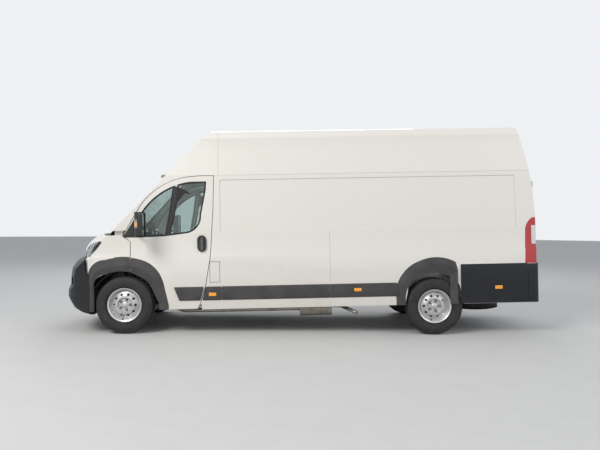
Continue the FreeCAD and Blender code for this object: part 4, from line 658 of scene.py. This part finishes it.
# %% Bowls and bulbs
LAMP_BOWLS = ((0.700, 1.065, 0.050, 0.045), (0.800, 1.085, 0.052, 0.045), (0.885, 1.115, 0.034, 0.035))
STEPS = 7
BEHIND_COVER = 0.012
lamp_tree = skin("headlamps")
bowls, bulbs = bmesh.new(), bmesh.new()
for _, hand in SIDES:
    for y, z, radius, depth in LAMP_BOWLS:
        front, _ = hit(lamp_tree, (-4.0, hand * y, z), (1, 0, 0))
        if front is None:
            continue
        look = Vector((-1, hand * 0.35, 0.10)).normalized()
        seat = facing(front - look * (depth * 0.42 + BEHIND_COVER), look, "Y")
        verts = [bowls.verts.new(seat @ Vector((radius * s / STEPS, 0, depth * ((s / STEPS) ** 2 - 1))))
                 for s in range(STEPS + 1)]
        edges = [bowls.edges.new(pair) for pair in zip(verts, verts[1:])]
        bmesh.ops.spin(
            bowls, geom=verts + edges, cent=seat.translation, axis=look, angle=math.tau, steps=32,
            use_merge=True)
        bmesh.ops.create_uvsphere(
            bulbs, u_segments=16, v_segments=8, radius=radius * 0.26,
            matrix=seat @ Matrix.Translation((0, 0, -depth * 0.62)) @ Matrix.Diagonal((1, 1, 1.7, 1)))
bmesh.ops.solidify(bowls, geom=bowls.faces[:], thickness=0.001)
made("lamp_bowls", bowls, chrome, "body", level=False)
bulb_piece = made("lamp_bulbs", bulbs, white_lens, "body", level=False)
print("bulbs", len(bulb_piece.data.polygons), "faces")

# %% [markdown]
# ## Windows
# Glass in a van never meets the paint: a black rubber lip runs round each door pane, and the windscreen has a
# printed black band that hides its glue. Both follow the pane, so the pane's own outer skin is inset by the
# band's width and the middle is thrown away.

# %% Bands round the panes
band_print = finish("glass_band", (0.010, 0.010, 0.011), 0.12, Coat_Weight=0.6)
vary_roughness(band_print, 0.08, 0.18, 14.0)


def outer_skin(node, outward, least):
    """A merged copy of the faces of a node that look one way."""
    bm = copied(node)
    bm.normal_update()
    outward = Vector(outward).normalized()
    bmesh.ops.delete(bm, geom=[f for f in bm.faces if f.normal.dot(outward) < least], context="FACES")
    return bm


def thicken(bm, lift, thickness):
    bm.normal_update()
    for vert, normal in [(vert, vert.normal.copy()) for vert in bm.verts]:
        vert.co += normal * lift
    bmesh.ops.solidify(bm, geom=bm.faces[:], thickness=thickness)


def border(name, node, outward, material, body, width, lift, thickness):
    bm = outer_skin(node, outward, 0.45)
    bmesh.ops.dissolve_limit(bm, angle_limit=math.radians(0.5), verts=bm.verts, edges=bm.edges)
    ring = set(bmesh.ops.inset_region(
        bm, faces=bm.faces[:], thickness=width, use_boundary=True, use_even_offset=True)["faces"])
    bmesh.ops.delete(bm, geom=[f for f in bm.faces if f not in ring], context="FACES")
    thicken(bm, lift, thickness)
    return made(name, bm, material, body, level=False)


border("windscreen_band", "windscreen", (-0.73, 0, 0.68), band_print, "body",
       width=0.048, lift=0.0009, thickness=0.0006)
for side, hand in SIDES:
    seal = border("window_seal_" + side, "door_glass_" + side, (0, hand, 0.2), rubber, "front_door_" + side,
                  width=0.021, lift=0.0045, thickness=0.004)
    print("seal", side, len(seal.data.polygons), "faces")

# %% [markdown]
# A moulding or lens that lies on a curved panel is easiest to cut from that panel. A patch copies the panel's
# skin, trims it with planes and gives it a small thickness, so it follows every curve beneath it.


# %% Cut a patch from a panel
def patch(name, node, outward, planes, material, body, lift, thickness=0.003):
    """planes are (point, direction) on the level van; what lies on the direction's side is cut off."""
    bm = outer_skin(node, outward, 0.25)
    for point, direction in planes:
        everything = bm.verts[:] + bm.edges[:] + bm.faces[:]
        bmesh.ops.bisect_plane(
            bm, geom=everything, dist=0.000001, plane_co=TILT @ Vector(point),
            plane_no=TILT.to_3x3() @ Vector(direction), clear_outer=True)
    thicken(bm, lift, thickness)
    return made(name, bm, material, body, level=False)


def between(x0, x1, z0, z1):
    return [((x0, 0, 0), (-1, 0, 0)), ((x1, 0, 0), (1, 0, 0)),
            ((0, 0, z0), (0, 0, -1)), ((0, 0, z1), (0, 0, 1))]


# %% [markdown]
# The mirror stands on a black triangle in the window's front corner. A clear repeater with an amber bulb
# wraps the front of the mirror, a black bar parts the small front pane from the large one, and a clear window
# is let into each tall tail lamp for the reversing light.

# %% Mirror foot, repeaters, window bar and reversing lamps
SAIL_SLOPE = Vector((-0.178, 0, 0.118)).normalized()
BAR_LINE = [
    (-1.688, 0.9880, 1.264), (-1.654, 0.9790, 1.450), (-1.6265, 0.9705, 1.600), (-1.6095, 0.9620, 1.750),
    (-1.591, 0.9530, 1.914),
]
for side, hand in SIDES:
    door = "front_door_" + side
    mirror = "mirror_" + side
    patch("mirror_sail_" + side, door, (0, hand, 0.1),
          [((-2.088, 0, 0), (1, 0, 0)), ((0, 0, 1.243), (0, 0, -1)), ((-2.087, 0, 1.478), SAIL_SLOPE)],
          black_plastic, door, lift=0.0018)
    ends = [((0, hand * 1.215, 0), (0, -hand, 0)), ((0, hand * 1.321, 0), (0, hand, 0))]
    patch("mirror_lamp_" + side, mirror, (-1, hand, 0), between(-2.010, -1.944, 1.362, 1.470) + ends,
          smoke_lens, door, lift=0.0022)
    patch("mirror_amber_" + side, mirror, (-1, hand, 0), between(-2.000, -1.950, 1.384, 1.436) + ends,
          amber_lens, door, lift=0.0042)
    bar = bmesh.new()
    swept(bar, [(x, hand * y, z) for x, y, z in BAR_LINE], 0.0190, 0.0022, up=(0, hand, 0))
    made("window_bar_" + side, bar, black_plastic, door, level=False)
    tail_window = patch(
        "tail_window_" + side, "tail_lamps", (1, hand, 0),
        between(3.088, 3.4, 1.062, 1.305) + [((0, 0, 0), (0, -hand, 0))],
        white_lens, "body", lift=0.0014, thickness=0.0025)
    print("tail window", side, len(tail_window.data.polygons), "faces")

# %% [markdown]
# ## Small lamps and markers
# Long vans carry three amber markers on each side, let into the rub strips: a rounded lens on a dark base.

# %% Side markers
STRIP_FACE = 1.022
MARKERS = ((-1.092, 0.490), (0.790, 0.510), (2.636, 0.504))
for number, (x, z) in enumerate(MARKERS, 1):
    for side, hand in SIDES:
        base, lens = bmesh.new(), bmesh.new()
        near = sorted((hand * (STRIP_FACE - 0.004), hand * (STRIP_FACE + 0.0015)))
        far = sorted((hand * (STRIP_FACE - 0.002), hand * (STRIP_FACE + 0.0028)))
        block(base, (x - 0.055, near[0], z - 0.028), (x + 0.055, near[1], z + 0.028), 0.0018)
        block(lens, (x - 0.048, far[0], z - 0.0215), (x + 0.048, far[1], z + 0.0215), 0.0018, 3)
        made(f"marker_base_{number}_{side}", base, black_plastic, "body")
        made(f"marker_lens_{number}_{side}", lens, amber_lens, "body")
print("markers", len(MARKERS) * len(SIDES))

# %% [markdown]
# The high brake lamp is a long red lens over the rear doors. A ray from behind finds the panel that holds it.

# %% High brake lamp
rear_tree = skin("roof_rear", "rear_door_left", "rear_door_right")
high, _ = hit(rear_tree, (5, 0.0, 2.665), (-1, 0, 0))
lamp = bmesh.new()
block(lamp, (high.x - 0.010, -0.17, 2.645), (high.x + 0.008, 0.17, 2.683), 0.004, 3)
made("high_brake_lamp", lamp, red_lens, "body", level=False)
print("brake lamp at", [round(v, 3) for v in high])

# %% [markdown]
# ## Trim that meets a gap
# The rub strips run up to the door's rear gap on both sides of it, cut along the slant of the gap. The ends
# are extruded from the strip's own bevelled section, one on the door and one on the body, and then each point
# of the far end is moved to the slant. Where the cowl stops short of the wing, a small black cover closes the
# corner.

# %% Strip ends and cowl corners
STRIP_SECTION = [
    (0.412, 1.0035), (0.424, 1.0200), (0.440, 1.0220), (0.562, 1.0220), (0.578, 1.0200), (0.590, 1.0035)]
STRIP_LOW = 0.412
STRIP_HEIGHT = 0.178
COWL_CORNER = [
    (-2.530, 0.785, 1.2585), (-2.470, 0.920, 1.2600), (-2.440, 0.953, 1.2600), (-2.402, 0.953, 1.3250),
    (-2.425, 0.900, 1.3220), (-2.455, 0.770, 1.3220),
]


def slanted(end, z):
    """The x of an end at a height, from its x at the strip's lower and upper edge."""
    return end[0] + (end[1] - end[0]) * (z - STRIP_LOW) / STRIP_HEIGHT


def strip_end(name, front, rear, hand, body):
    bm = bmesh.new()
    section = bm.faces.new([bm.verts.new((slanted(front, z), hand * y, z)) for z, y in STRIP_SECTION])
    for item in bmesh.ops.extrude_face_region(bm, geom=[section])["geom"]:
        if isinstance(item, bmesh.types.BMVert):
            item.co.x = slanted(rear, item.co.z)
    made(name, bm, trim_plastic, body, angle=TRIM_SPLIT)


for side, hand in SIDES:
    strip_end("strip_end_door_" + side, (-1.2665, -1.2200), (-1.2520, -1.2085), hand, "front_door_" + side)
    strip_end("strip_end_body_" + side, (-1.2250, -1.1830), (-1.1880, -1.1525), hand, "body")
    corner_cover = bmesh.new()
    corner_cover.faces.new([corner_cover.verts.new((x, hand * y, z)) for x, y, z in COWL_CORNER])
    bmesh.ops.solidify(corner_cover, geom=corner_cover.faces[:], thickness=0.003)
    made("cowl_corner_" + side, corner_cover, black_plastic, "body", level=False)
print("strip ends", 2 * len(SIDES))

# %% [markdown]
# Some imported nodes carry two finishes on the real van. The door lever is a lighter grey than its dish, and
# part of that lightness is a painted highlight that stands in for the shine the lever catches. The frame
# under the windscreen is black behind the wipers, and the cladding behind the rear wheel is as dark as the
# bumper it meets.

# %% Second finishes on imported nodes
REAR_CLADDING = 2.138
# The lever's lighter grey is partly its own colour and partly a painted highlight.
lever_grey_with_painted_highlight = finish("lever_grey_with_painted_highlight", (0.085, 0.086, 0.088), 0.42)
vary_roughness(lever_grey_with_painted_highlight, 0.36, 0.5, 40.0)
for side, _ in SIDES:
    count = refinish("door_trim_" + side, lever_grey_with_painted_highlight, lambda at: (
        -1.262 < at.x < -1.212 and 1.06 < at.z < 1.28 and abs(at.y) > 1.0145))
    print("faces of a door lever:", count)
count = refinish("cab_frame", black_plastic, lambda at: abs(at.y) < 0.80 and at.z < 1.40 and at.x < -2.38)
print("faces of the screen's lower frame:", count)
count = refinish("side_trim", bumper_plastic, lambda at: at.x > REAR_CLADDING)
print("faces of the rear cladding:", count)

# %% [markdown]
# ## Mirrors
# A van's mirror has a flat upper glass and a small wide-angle glass below it, both in one thin black frame
# inside the housing's open back.

# %% Mirror glasses
for side, hand in SIDES:
    rim, panes = bmesh.new(), bmesh.new()
    ends = sorted((hand * 1.318, hand * 1.152))
    block(rim, (-1.9300, ends[0] + 0.001, 1.258), (-1.9180, ends[1] - 0.001, 1.552), 0.004)
    for low, high in ((1.264, 1.334), (1.342, 1.546)):
        block(panes, (-1.9190, ends[0] + 0.007, low), (-1.9140, ends[1] - 0.007, high), 0.003, 3)
    made("mirror_frame_" + side, rim, black_plastic, "front_door_" + side)
    made("mirror_glass_" + side, panes, mirror_face, "front_door_" + side)
print("mirror glasses reach", ends[1])

# %% [markdown]
# ## Plates, handles and rail
# The number plates are bare pressed blanks with a raised rim: a block whose face is inset twice, the second
# time pushed in. The front one leans back with the nose.

# %% Blank number plates
PLATE_HALF = (0.0015, 0.26, 0.055)
plate_white = finish("plate_white", (0.80, 0.80, 0.78), 0.35, Coat_Weight=0.3)
vary_colour(plate_white, (0.66, 0.65, 0.62), 8.0)


def sink(bm, faces, rim, wall, depth):
    """Leaves a rim round the faces and pushes what it holds in."""
    bmesh.ops.inset_region(bm, faces=faces, thickness=rim, depth=0)
    bmesh.ops.inset_region(bm, faces=faces, thickness=wall, depth=-depth)


def plate(name, centre, way, body, lean=0.0, level=True):
    bm = bmesh.new()
    block(bm, [c - h for c, h in zip(centre, PLATE_HALF)], [c + h for c, h in zip(centre, PLATE_HALF)])
    front = [f for f in bm.faces if f.normal.x * way > 0.9]
    sink(bm, front, rim=0.006, wall=0.002, depth=0.0010)
    about = Matrix.Translation(centre)
    bm.transform(about @ turned(lean, "Y") @ about.inverted())
    made(name, bm, plate_white, body, level, 20.0)


plate("number_plate_front", (-3.1625, 0.0, 0.603), -1, "body", lean=17.0, level=False)
plate("number_plate_rear", (3.1475, -0.43, 0.78), 1, "rear_door_left")
print("plates", [round(2000 * h) for h in PLATE_HALF], "mm, with nothing printed on them")

# %% [markdown]
# The rear doors open with a lever in an upright dish. A dish is a block whose large face is inset and pushed
# in.

# %% Rear door handle
dish, lever = bmesh.new(), bmesh.new()
block(dish, (3.1450, 0.070, 1.000), (3.1530, 0.165, 1.190), 0.004, 3)
front = [f for f in dish.faces if f.normal.x > 0.99 and f.calc_area() > 0.01]
sink(dish, front, rim=0.012, wall=0.003, depth=0.005)
block(lever, (3.1500, 0.102, 1.020), (3.1600, 0.134, 1.170), 0.0045, 3)
made("rear_handle_dish", dish, trim_plastic, "rear_door_right")
made("rear_handle_lever", lever, black_plastic, "rear_door_right")
print("faces pushed in:", len(front))

# %% [markdown]
# The sliding door hangs on a roller that runs in a dark rail along the right side, with a painted lip over
# it.

# %% Sliding door fittings
FITTINGS = {
    "door_rail": (black_plastic, (0.445, 0.994, 1.195), (2.030, 0.9985, 1.228), 0.001, 2),
    "door_rail_lip": (paint, (0.445, 0.994, 1.228), (2.030, 1.0015, 1.236), 0.001, 2),
    "slide_handle_dish": (trim_plastic, (-0.800, 1.004, 1.070), (-0.705, 1.0115, 1.245), 0.0035, 3),
    "slide_handle_lever": (black_plastic, (-0.770, 1.010, 1.085), (-0.738, 1.0200, 1.228), 0.0045, 3),
}
for name, (material, low, high, bevel, segments) in FITTINGS.items():
    fitting = bmesh.new()
    block(fitting, low, high, bevel, segments)
    made(name, fitting, material, "body")
print("fittings of the sliding door:", len(FITTINGS))

# %% [markdown]
# ## Wipers and aerial
# Two wipers rest at the foot of the windscreen. Each arm and blade is extruded from point to point over the
# glass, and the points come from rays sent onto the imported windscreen, so the blade lies on it.

# %% Wipers
BLADE_STEPS = 8
BLADE_RISE = 0.035
MIDDLE = BLADE_STEPS // 2
screen_tree = skin("windscreen", "cowl", "cab_frame")
for name, pivot, tip, height in (("left", -0.52, 0.10, 1.405), ("right", 0.20, 0.74, 1.400)):
    arm, blade = bmesh.new(), bmesh.new()
    points, normals = [], []
    for step in range(BLADE_STEPS + 1):
        share = step / BLADE_STEPS
        y = pivot + 0.02 + (tip - pivot) * share
        spot, normal = hit(screen_tree, (-4, y, height + BLADE_RISE * share), (1, 0, 0))
        points.append(spot + normal * 0.010)
        normals.append(normal)
    swept(blade, points, 0.006, 0.009, up=normals[MIDDLE])
    foot, foot_normal = hit(screen_tree, (-4, pivot - 0.02, 1.325), (1, 0, 0))
    elbow = foot.lerp(points[MIDDLE], 0.4) + normals[2] * 0.026
    swept(arm, [foot + foot_normal * 0.012, elbow, points[MIDDLE] + normals[MIDDLE] * 0.010], 0.009, 0.004,
          up=foot_normal)
    made("wiper_blade_" + name, blade, rubber, "body", level=False)
    made("wiper_arm_" + name, arm, black_plastic, "body", level=False)
    print("wiper", name, [round(v, 3) for v in points[MIDDLE]])

# %% [markdown]
# A short aerial leans back from the front of the roof: a rubber foot, a collar and a whip, each a cone that
# starts inside the one below.

# %% Roof aerial
AERIAL = ((0.020, 0.014, -0.004, 0.014), (0.0060, 0.0045, 0.012, 0.030), (0.0040, 0.0022, 0.028, 0.115))
foot, _ = hit(skin("roof_front"), (-1.22, 0.0, 4), (0, 0, -1))
aerial = bmesh.new()
stacked_cones(aerial, AERIAL, 20, Matrix.Translation(foot) @ turned(32, "Y"))
made("aerial", aerial, black_plastic, "body", level=False)
print("aerial foot", [round(v, 3) for v in foot])

# %% [markdown]
# ## Cab
# The dashboard has round air vents, a screen and dials. They are small turned and bevelled shapes set on the
# dashboard where rays meet it.

# %% Dashboard fittings
VENT_RINGS = ((0.045, -0.01, 0.006), (0.036, 0.004, 0.009), (0.012, 0.008, 0.013))
DIAL_RINGS = ((0.052, -0.004, 0.004), (0.046, 0.003, 0.006))
VENT = [(radius, radius * 0.92, low, high) for radius, low, high in VENT_RINGS]
DIAL = [(radius, radius * 0.94, low, high) for radius, low, high in DIAL_RINGS]
dash_tree = skin("dashboard")
vents, dials = bmesh.new(), bmesh.new()
for y in (-0.70, -0.235, 0.235, 0.70):
    spot, normal = hit(dash_tree, (0.0, y, 1.165), (-1, 0, 0))
    if spot is not None:
        stacked_cones(vents, VENT, 28, facing(spot, normal, "Y"))
made("air_vents", vents, black_plastic, "body", level=False)
spot, normal = hit(dash_tree, (0.0, 0.0, 1.13), (-1, 0, 0))
panel = bmesh.new()
block(panel, (-0.10, -0.075, -0.004), (0.10, 0.055, 0.010), 0.004, 3)
panel.transform(facing(spot, normal, "X") @ turned(90, "Z"))
made("dash_screen", panel, band_print, "body", level=False)
for y in (-0.56, -0.38):
    spot, normal = hit(dash_tree, (0.0, y, 1.235), (-1, 0, 0))
    stacked_cones(dials, DIAL, 32, facing(spot, normal, "Y"))
dial_piece = made("dials", dials, black_plastic, "body", level=False)
print("dials", len(dial_piece.data.polygons), "faces")

# %% [markdown]
# ## Seats
# A driver's seat and a double bench are foam under cloth. A pad starts as a rounded block a little under its
# size and is remeshed into even cells, because cloth needs them. Its long edges are raised as bolsters.

# %% An even pad with bolsters
START_SHARE = 0.93
BOLSTER_FROM = 0.55


def even_pad(name, size, bolster, voxel):
    """A pad at the origin, its front or top towards +Z and its width along Y."""
    bm = bmesh.new()
    block(bm, [-v / 2 * START_SHARE for v in size], [v / 2 * START_SHARE for v in size], min(size) * 0.30, 4)
    pad = to_object(name, bm)
    remesh = pad.modifiers.new("even", "REMESH")
    remesh.mode = "VOXEL"
    remesh.voxel_size = voxel
    graph = bpy.context.evaluated_depsgraph_get()
    even = bpy.data.meshes.new_from_object(pad.evaluated_get(graph))
    pad.modifiers.clear()
    pad.data = even
    for vert in even.vertices:
        across = abs(vert.co.y) / (size[1] / 2)
        if vert.co.z > 0 and bolster:
            raised = (max(0.0, across - BOLSTER_FROM) / 0.45) ** 1.5 * (across < START_SHARE)
            vert.co.z += bolster * raised - 0.004
    return pad


# %% [markdown]
# Cloth under pressure swells the pad as foam fills its cover. No point may move further than a cap, and where
# the pad would pass the space that the frame leaves, it is pressed flat.

# %% Swell it with cloth
CLOTH_STEPS = 20


def swell(pad, size, cap=0.024):
    even = pad.data
    start = [vert.co.copy() for vert in even.vertices]
    cloth = pad.modifiers.new("cloth", "CLOTH")
    cloth.settings.quality = 4
    cloth.settings.mass = 0.3
    cloth.settings.use_pressure = True
    cloth.settings.uniform_pressure_force = 4.0
    cloth.settings.effector_weights.gravity = 0.0
    cloth.point_cache.frame_end = CLOTH_STEPS
    for step in range(1, CLOTH_STEPS + 1):
        scene.frame_set(step)
    graph = bpy.context.evaluated_depsgraph_get()
    swollen = bpy.data.meshes.new_from_object(pad.evaluated_get(graph))
    pad.modifiers.clear()
    for vert, was, now in zip(even.vertices, start, swollen.vertices):
        move = now.co - was
        vert.co = was + (move * (cap / move.length) if move.length > cap else move)
    scene.frame_set(1)
    for vert in even.vertices:
        vert.co = [max(-v / 2, min(v / 2, c)) for c, v in zip(vert.co, size)]


# %% [markdown]
# The seams of a seat pull its cloth down in narrow channels, lengthwise between the bolsters and crosswise
# over the middle. They come last, because remeshing would wipe them out.

# %% Sew the channels
SEAM_WIDTH = 0.007
PANEL_DEPTH = 0.007
CHANNEL_DEPTH = 0.005


def dip(distance, depth):
    return depth * math.exp(-((distance / SEAM_WIDTH) ** 2))


def sewn(pad, size, channels, panels):
    """Presses channels into the upper face, at shares of half the width and of half the length."""
    half = [v / 2 for v in size]
    for vert in pad.data.vertices:
        if vert.co.z < half[2] * 0.15:
            continue
        depth = max(dip(vert.co.y - share * half[1], PANEL_DEPTH) for share in panels)
        if abs(vert.co.y) < abs(panels[-1]) * half[1]:
            depth = max(depth, *(dip(vert.co.x - share * half[0], CHANNEL_DEPTH) for share in channels))
        vert.co.z -= depth


# %% [markdown]
# The driver sits alone and two passengers share the bench. Each seat is a cushion, a back that leans and a
# head rest for each person, and a list gives every pad its size, its place and its seams.

# %% Pads of the cab
LEAN = math.atan2(0.097, 0.665)
UPRIGHT = turned(-90, "Y")
PADS = []
for label, y0, y1, rests, voxel, panels in (
        ("driver", -0.700, -0.220, [-0.46], 0.009, [-0.58, 0.58]),
        ("bench", -0.130, 0.720, [0.09, 0.50], 0.011, [-0.72, -0.06, 0.06, 0.72])):
    middle = (y0 + y1) / 2
    wide = y1 - y0
    flat = Matrix.Translation((-1.540, middle, 0.8255))
    leaning = Matrix.Translation((-1.1810, middle, 1.1125)) @ Matrix.Rotation(LEAN, 4, "Y") @ UPRIGHT
    PADS.append((label + "_cushion", (0.500, wide, 0.129), flat, voxel, [-0.5, -0.05, 0.4], panels))
    PADS.append((label + "_back", (0.660, wide - 0.010, 0.104), leaning, voxel, [-0.45, 0.05, 0.5], panels))
    for number, y in enumerate(rests, 1):
        head = Matrix.Translation((-1.1100, y, 1.5725)) @ turned(3, "Y") @ UPRIGHT
        PADS.append((f"{label}_head_rest_{number}", (0.153, 0.260, 0.088), head, 0.006, [], []))
print("pads", len(PADS))

# %% [markdown]
# Each pad is swollen, sewn and set in its place, and one subdivision rounds its cells.

# %% Make the seats
for name, size, where, voxel, channels, panels in PADS:
    pad = even_pad(name, size, 0.010 if panels else 0.0, voxel)
    swell(pad, size)
    if panels:
        sewn(pad, size, channels, panels)
    pad.data.transform(TILT @ where)
    pad.data.materials.append(seat_cloth)
    for face in pad.data.polygons:
        face.use_smooth = True
    finer = pad.modifiers.new("finer", "SUBSURF")
    finer.levels = finer.render_levels = 1
    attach(pad, "body")
    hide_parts("seat_pads")
    print(name, len(pad.data.polygons), "faces")

# %% [markdown]
# ## The photograph's view
# The picture was taken from the left, 8.6 m out and 1.4 m above the road, almost square on. A lens of 35 mm
# on a full-width sensor gives the same spread, and the camera leans by less than half a degree.

# %% Camera
camera = bpy.data.objects.new("camera", bpy.data.cameras.new("camera"))
scene.collection.objects.link(camera)
camera.data.lens = 35.1
camera.data.sensor_width = 36
camera.data.clip_end = 200
camera.matrix_world = (
    Matrix.Translation((-0.153, -8.597, 1.423))
    @ turned(-1.36, "Z") @ turned(90, "X") @ turned(0.42, "Z")
)
scene.camera = camera
scene.view_settings.view_transform = "Standard"
print("lens", round(camera.data.lens, 1), "mm")

# %% [markdown]
# The world lights the van softly from all round, while what the camera, glass and gloss see is a pale
# backdrop. Light Path tells those rays apart, so the backdrop can be bright without lighting the van more.

# %% Sky and backdrop
def mix_shaders(tree, factor, first, second, output):
    """Shows the second shader instead of the first where the factor is 1."""
    mix = tree.nodes.new("ShaderNodeMixShader")
    tree.links.new(factor, mix.inputs["Fac"])
    tree.links.new(first.outputs[0], mix.inputs[1])
    tree.links.new(second.outputs[0], mix.inputs[2])
    tree.links.new(mix.outputs[0], tree.nodes[output].inputs["Surface"])


world = bpy.data.worlds.new("studio")
scene.world = world
world.use_nodes = True
tree = world.node_tree
background = tree.nodes["Background"]
background.inputs["Color"].default_value = (0.86, 0.90, 0.96, 1)
background.inputs["Strength"].default_value = 0.54
backdrop = tree.nodes.new("ShaderNodeBackground")
backdrop.inputs["Color"].default_value = (0.86, 0.88, 0.90, 1)
backdrop.inputs["Strength"].default_value = 1.0
rays = tree.nodes.new("ShaderNodeLightPath")
shown = rays.outputs["Is Camera Ray"]
for ray in ("Is Transmission Ray", "Is Glossy Ray"):
    either = tree.nodes.new("ShaderNodeMath")
    either.operation = "MAXIMUM"
    tree.links.new(shown, either.inputs[0])
    tree.links.new(rays.outputs[ray], either.inputs[1])
    shown = either.outputs[0]
mix_shaders(tree, shown, background, backdrop, "World Output")

# %% [markdown]
# Three large soft lamps stand round the van: a warm key from the front left, a fill from the rear left and
# one on the far side. Large lamps give the soft shadow under the sills that a bright day gives.


# %% Lamps
def softbox(name, location, target_height, width, power, colour=(1, 1, 1)):
    lamp = bpy.data.objects.new(name, bpy.data.lights.new(name, "AREA"))
    scene.collection.objects.link(lamp)
    lamp.data.shape = "RECTANGLE"
    lamp.data.size = width
    lamp.data.size_y = 4.0
    lamp.data.energy = power
    lamp.data.color = colour
    lamp.location = location
    aim = Vector((0, 0, target_height)) - Vector(location)
    lamp.rotation_euler = aim.to_track_quat("-Z", "Y").to_euler()


softbox("key", (-7.0, -9.0, 9.0), 1.0, 6.0, 1120, (1.0, 0.97, 0.93))
softbox("fill", (9.0, -6.0, 6.0), 1.2, 6.0, 280)
softbox("back", (0.0, 10.0, 8.0), 1.2, 8.0, 370)
print("lamps", len(bpy.data.lights))

# %% [markdown]
# The van stands on a wide pale disc that is clear from below, so the underside shows as well.

# %% Ground
ground_finish = finish("ground", (0.58, 0.58, 0.575), 0.8)
vary_colour(ground_finish, (0.56, 0.56, 0.555), 3.0, 8.0)
tree = ground_finish.node_tree
see_through = tree.nodes.new("ShaderNodeBsdfTransparent")
from_below = tree.nodes.new("ShaderNodeNewGeometry").outputs["Backfacing"]
mix_shaders(tree, from_below, tree.nodes["Principled BSDF"], see_through, "Material Output")
bm = bmesh.new()
bmesh.ops.create_circle(bm, cap_ends=True, segments=96, radius=60)
ground = to_object("ground", bm)
ground.data.materials.append(ground_finish)
print("ground faces", len(ground.data.polygons))
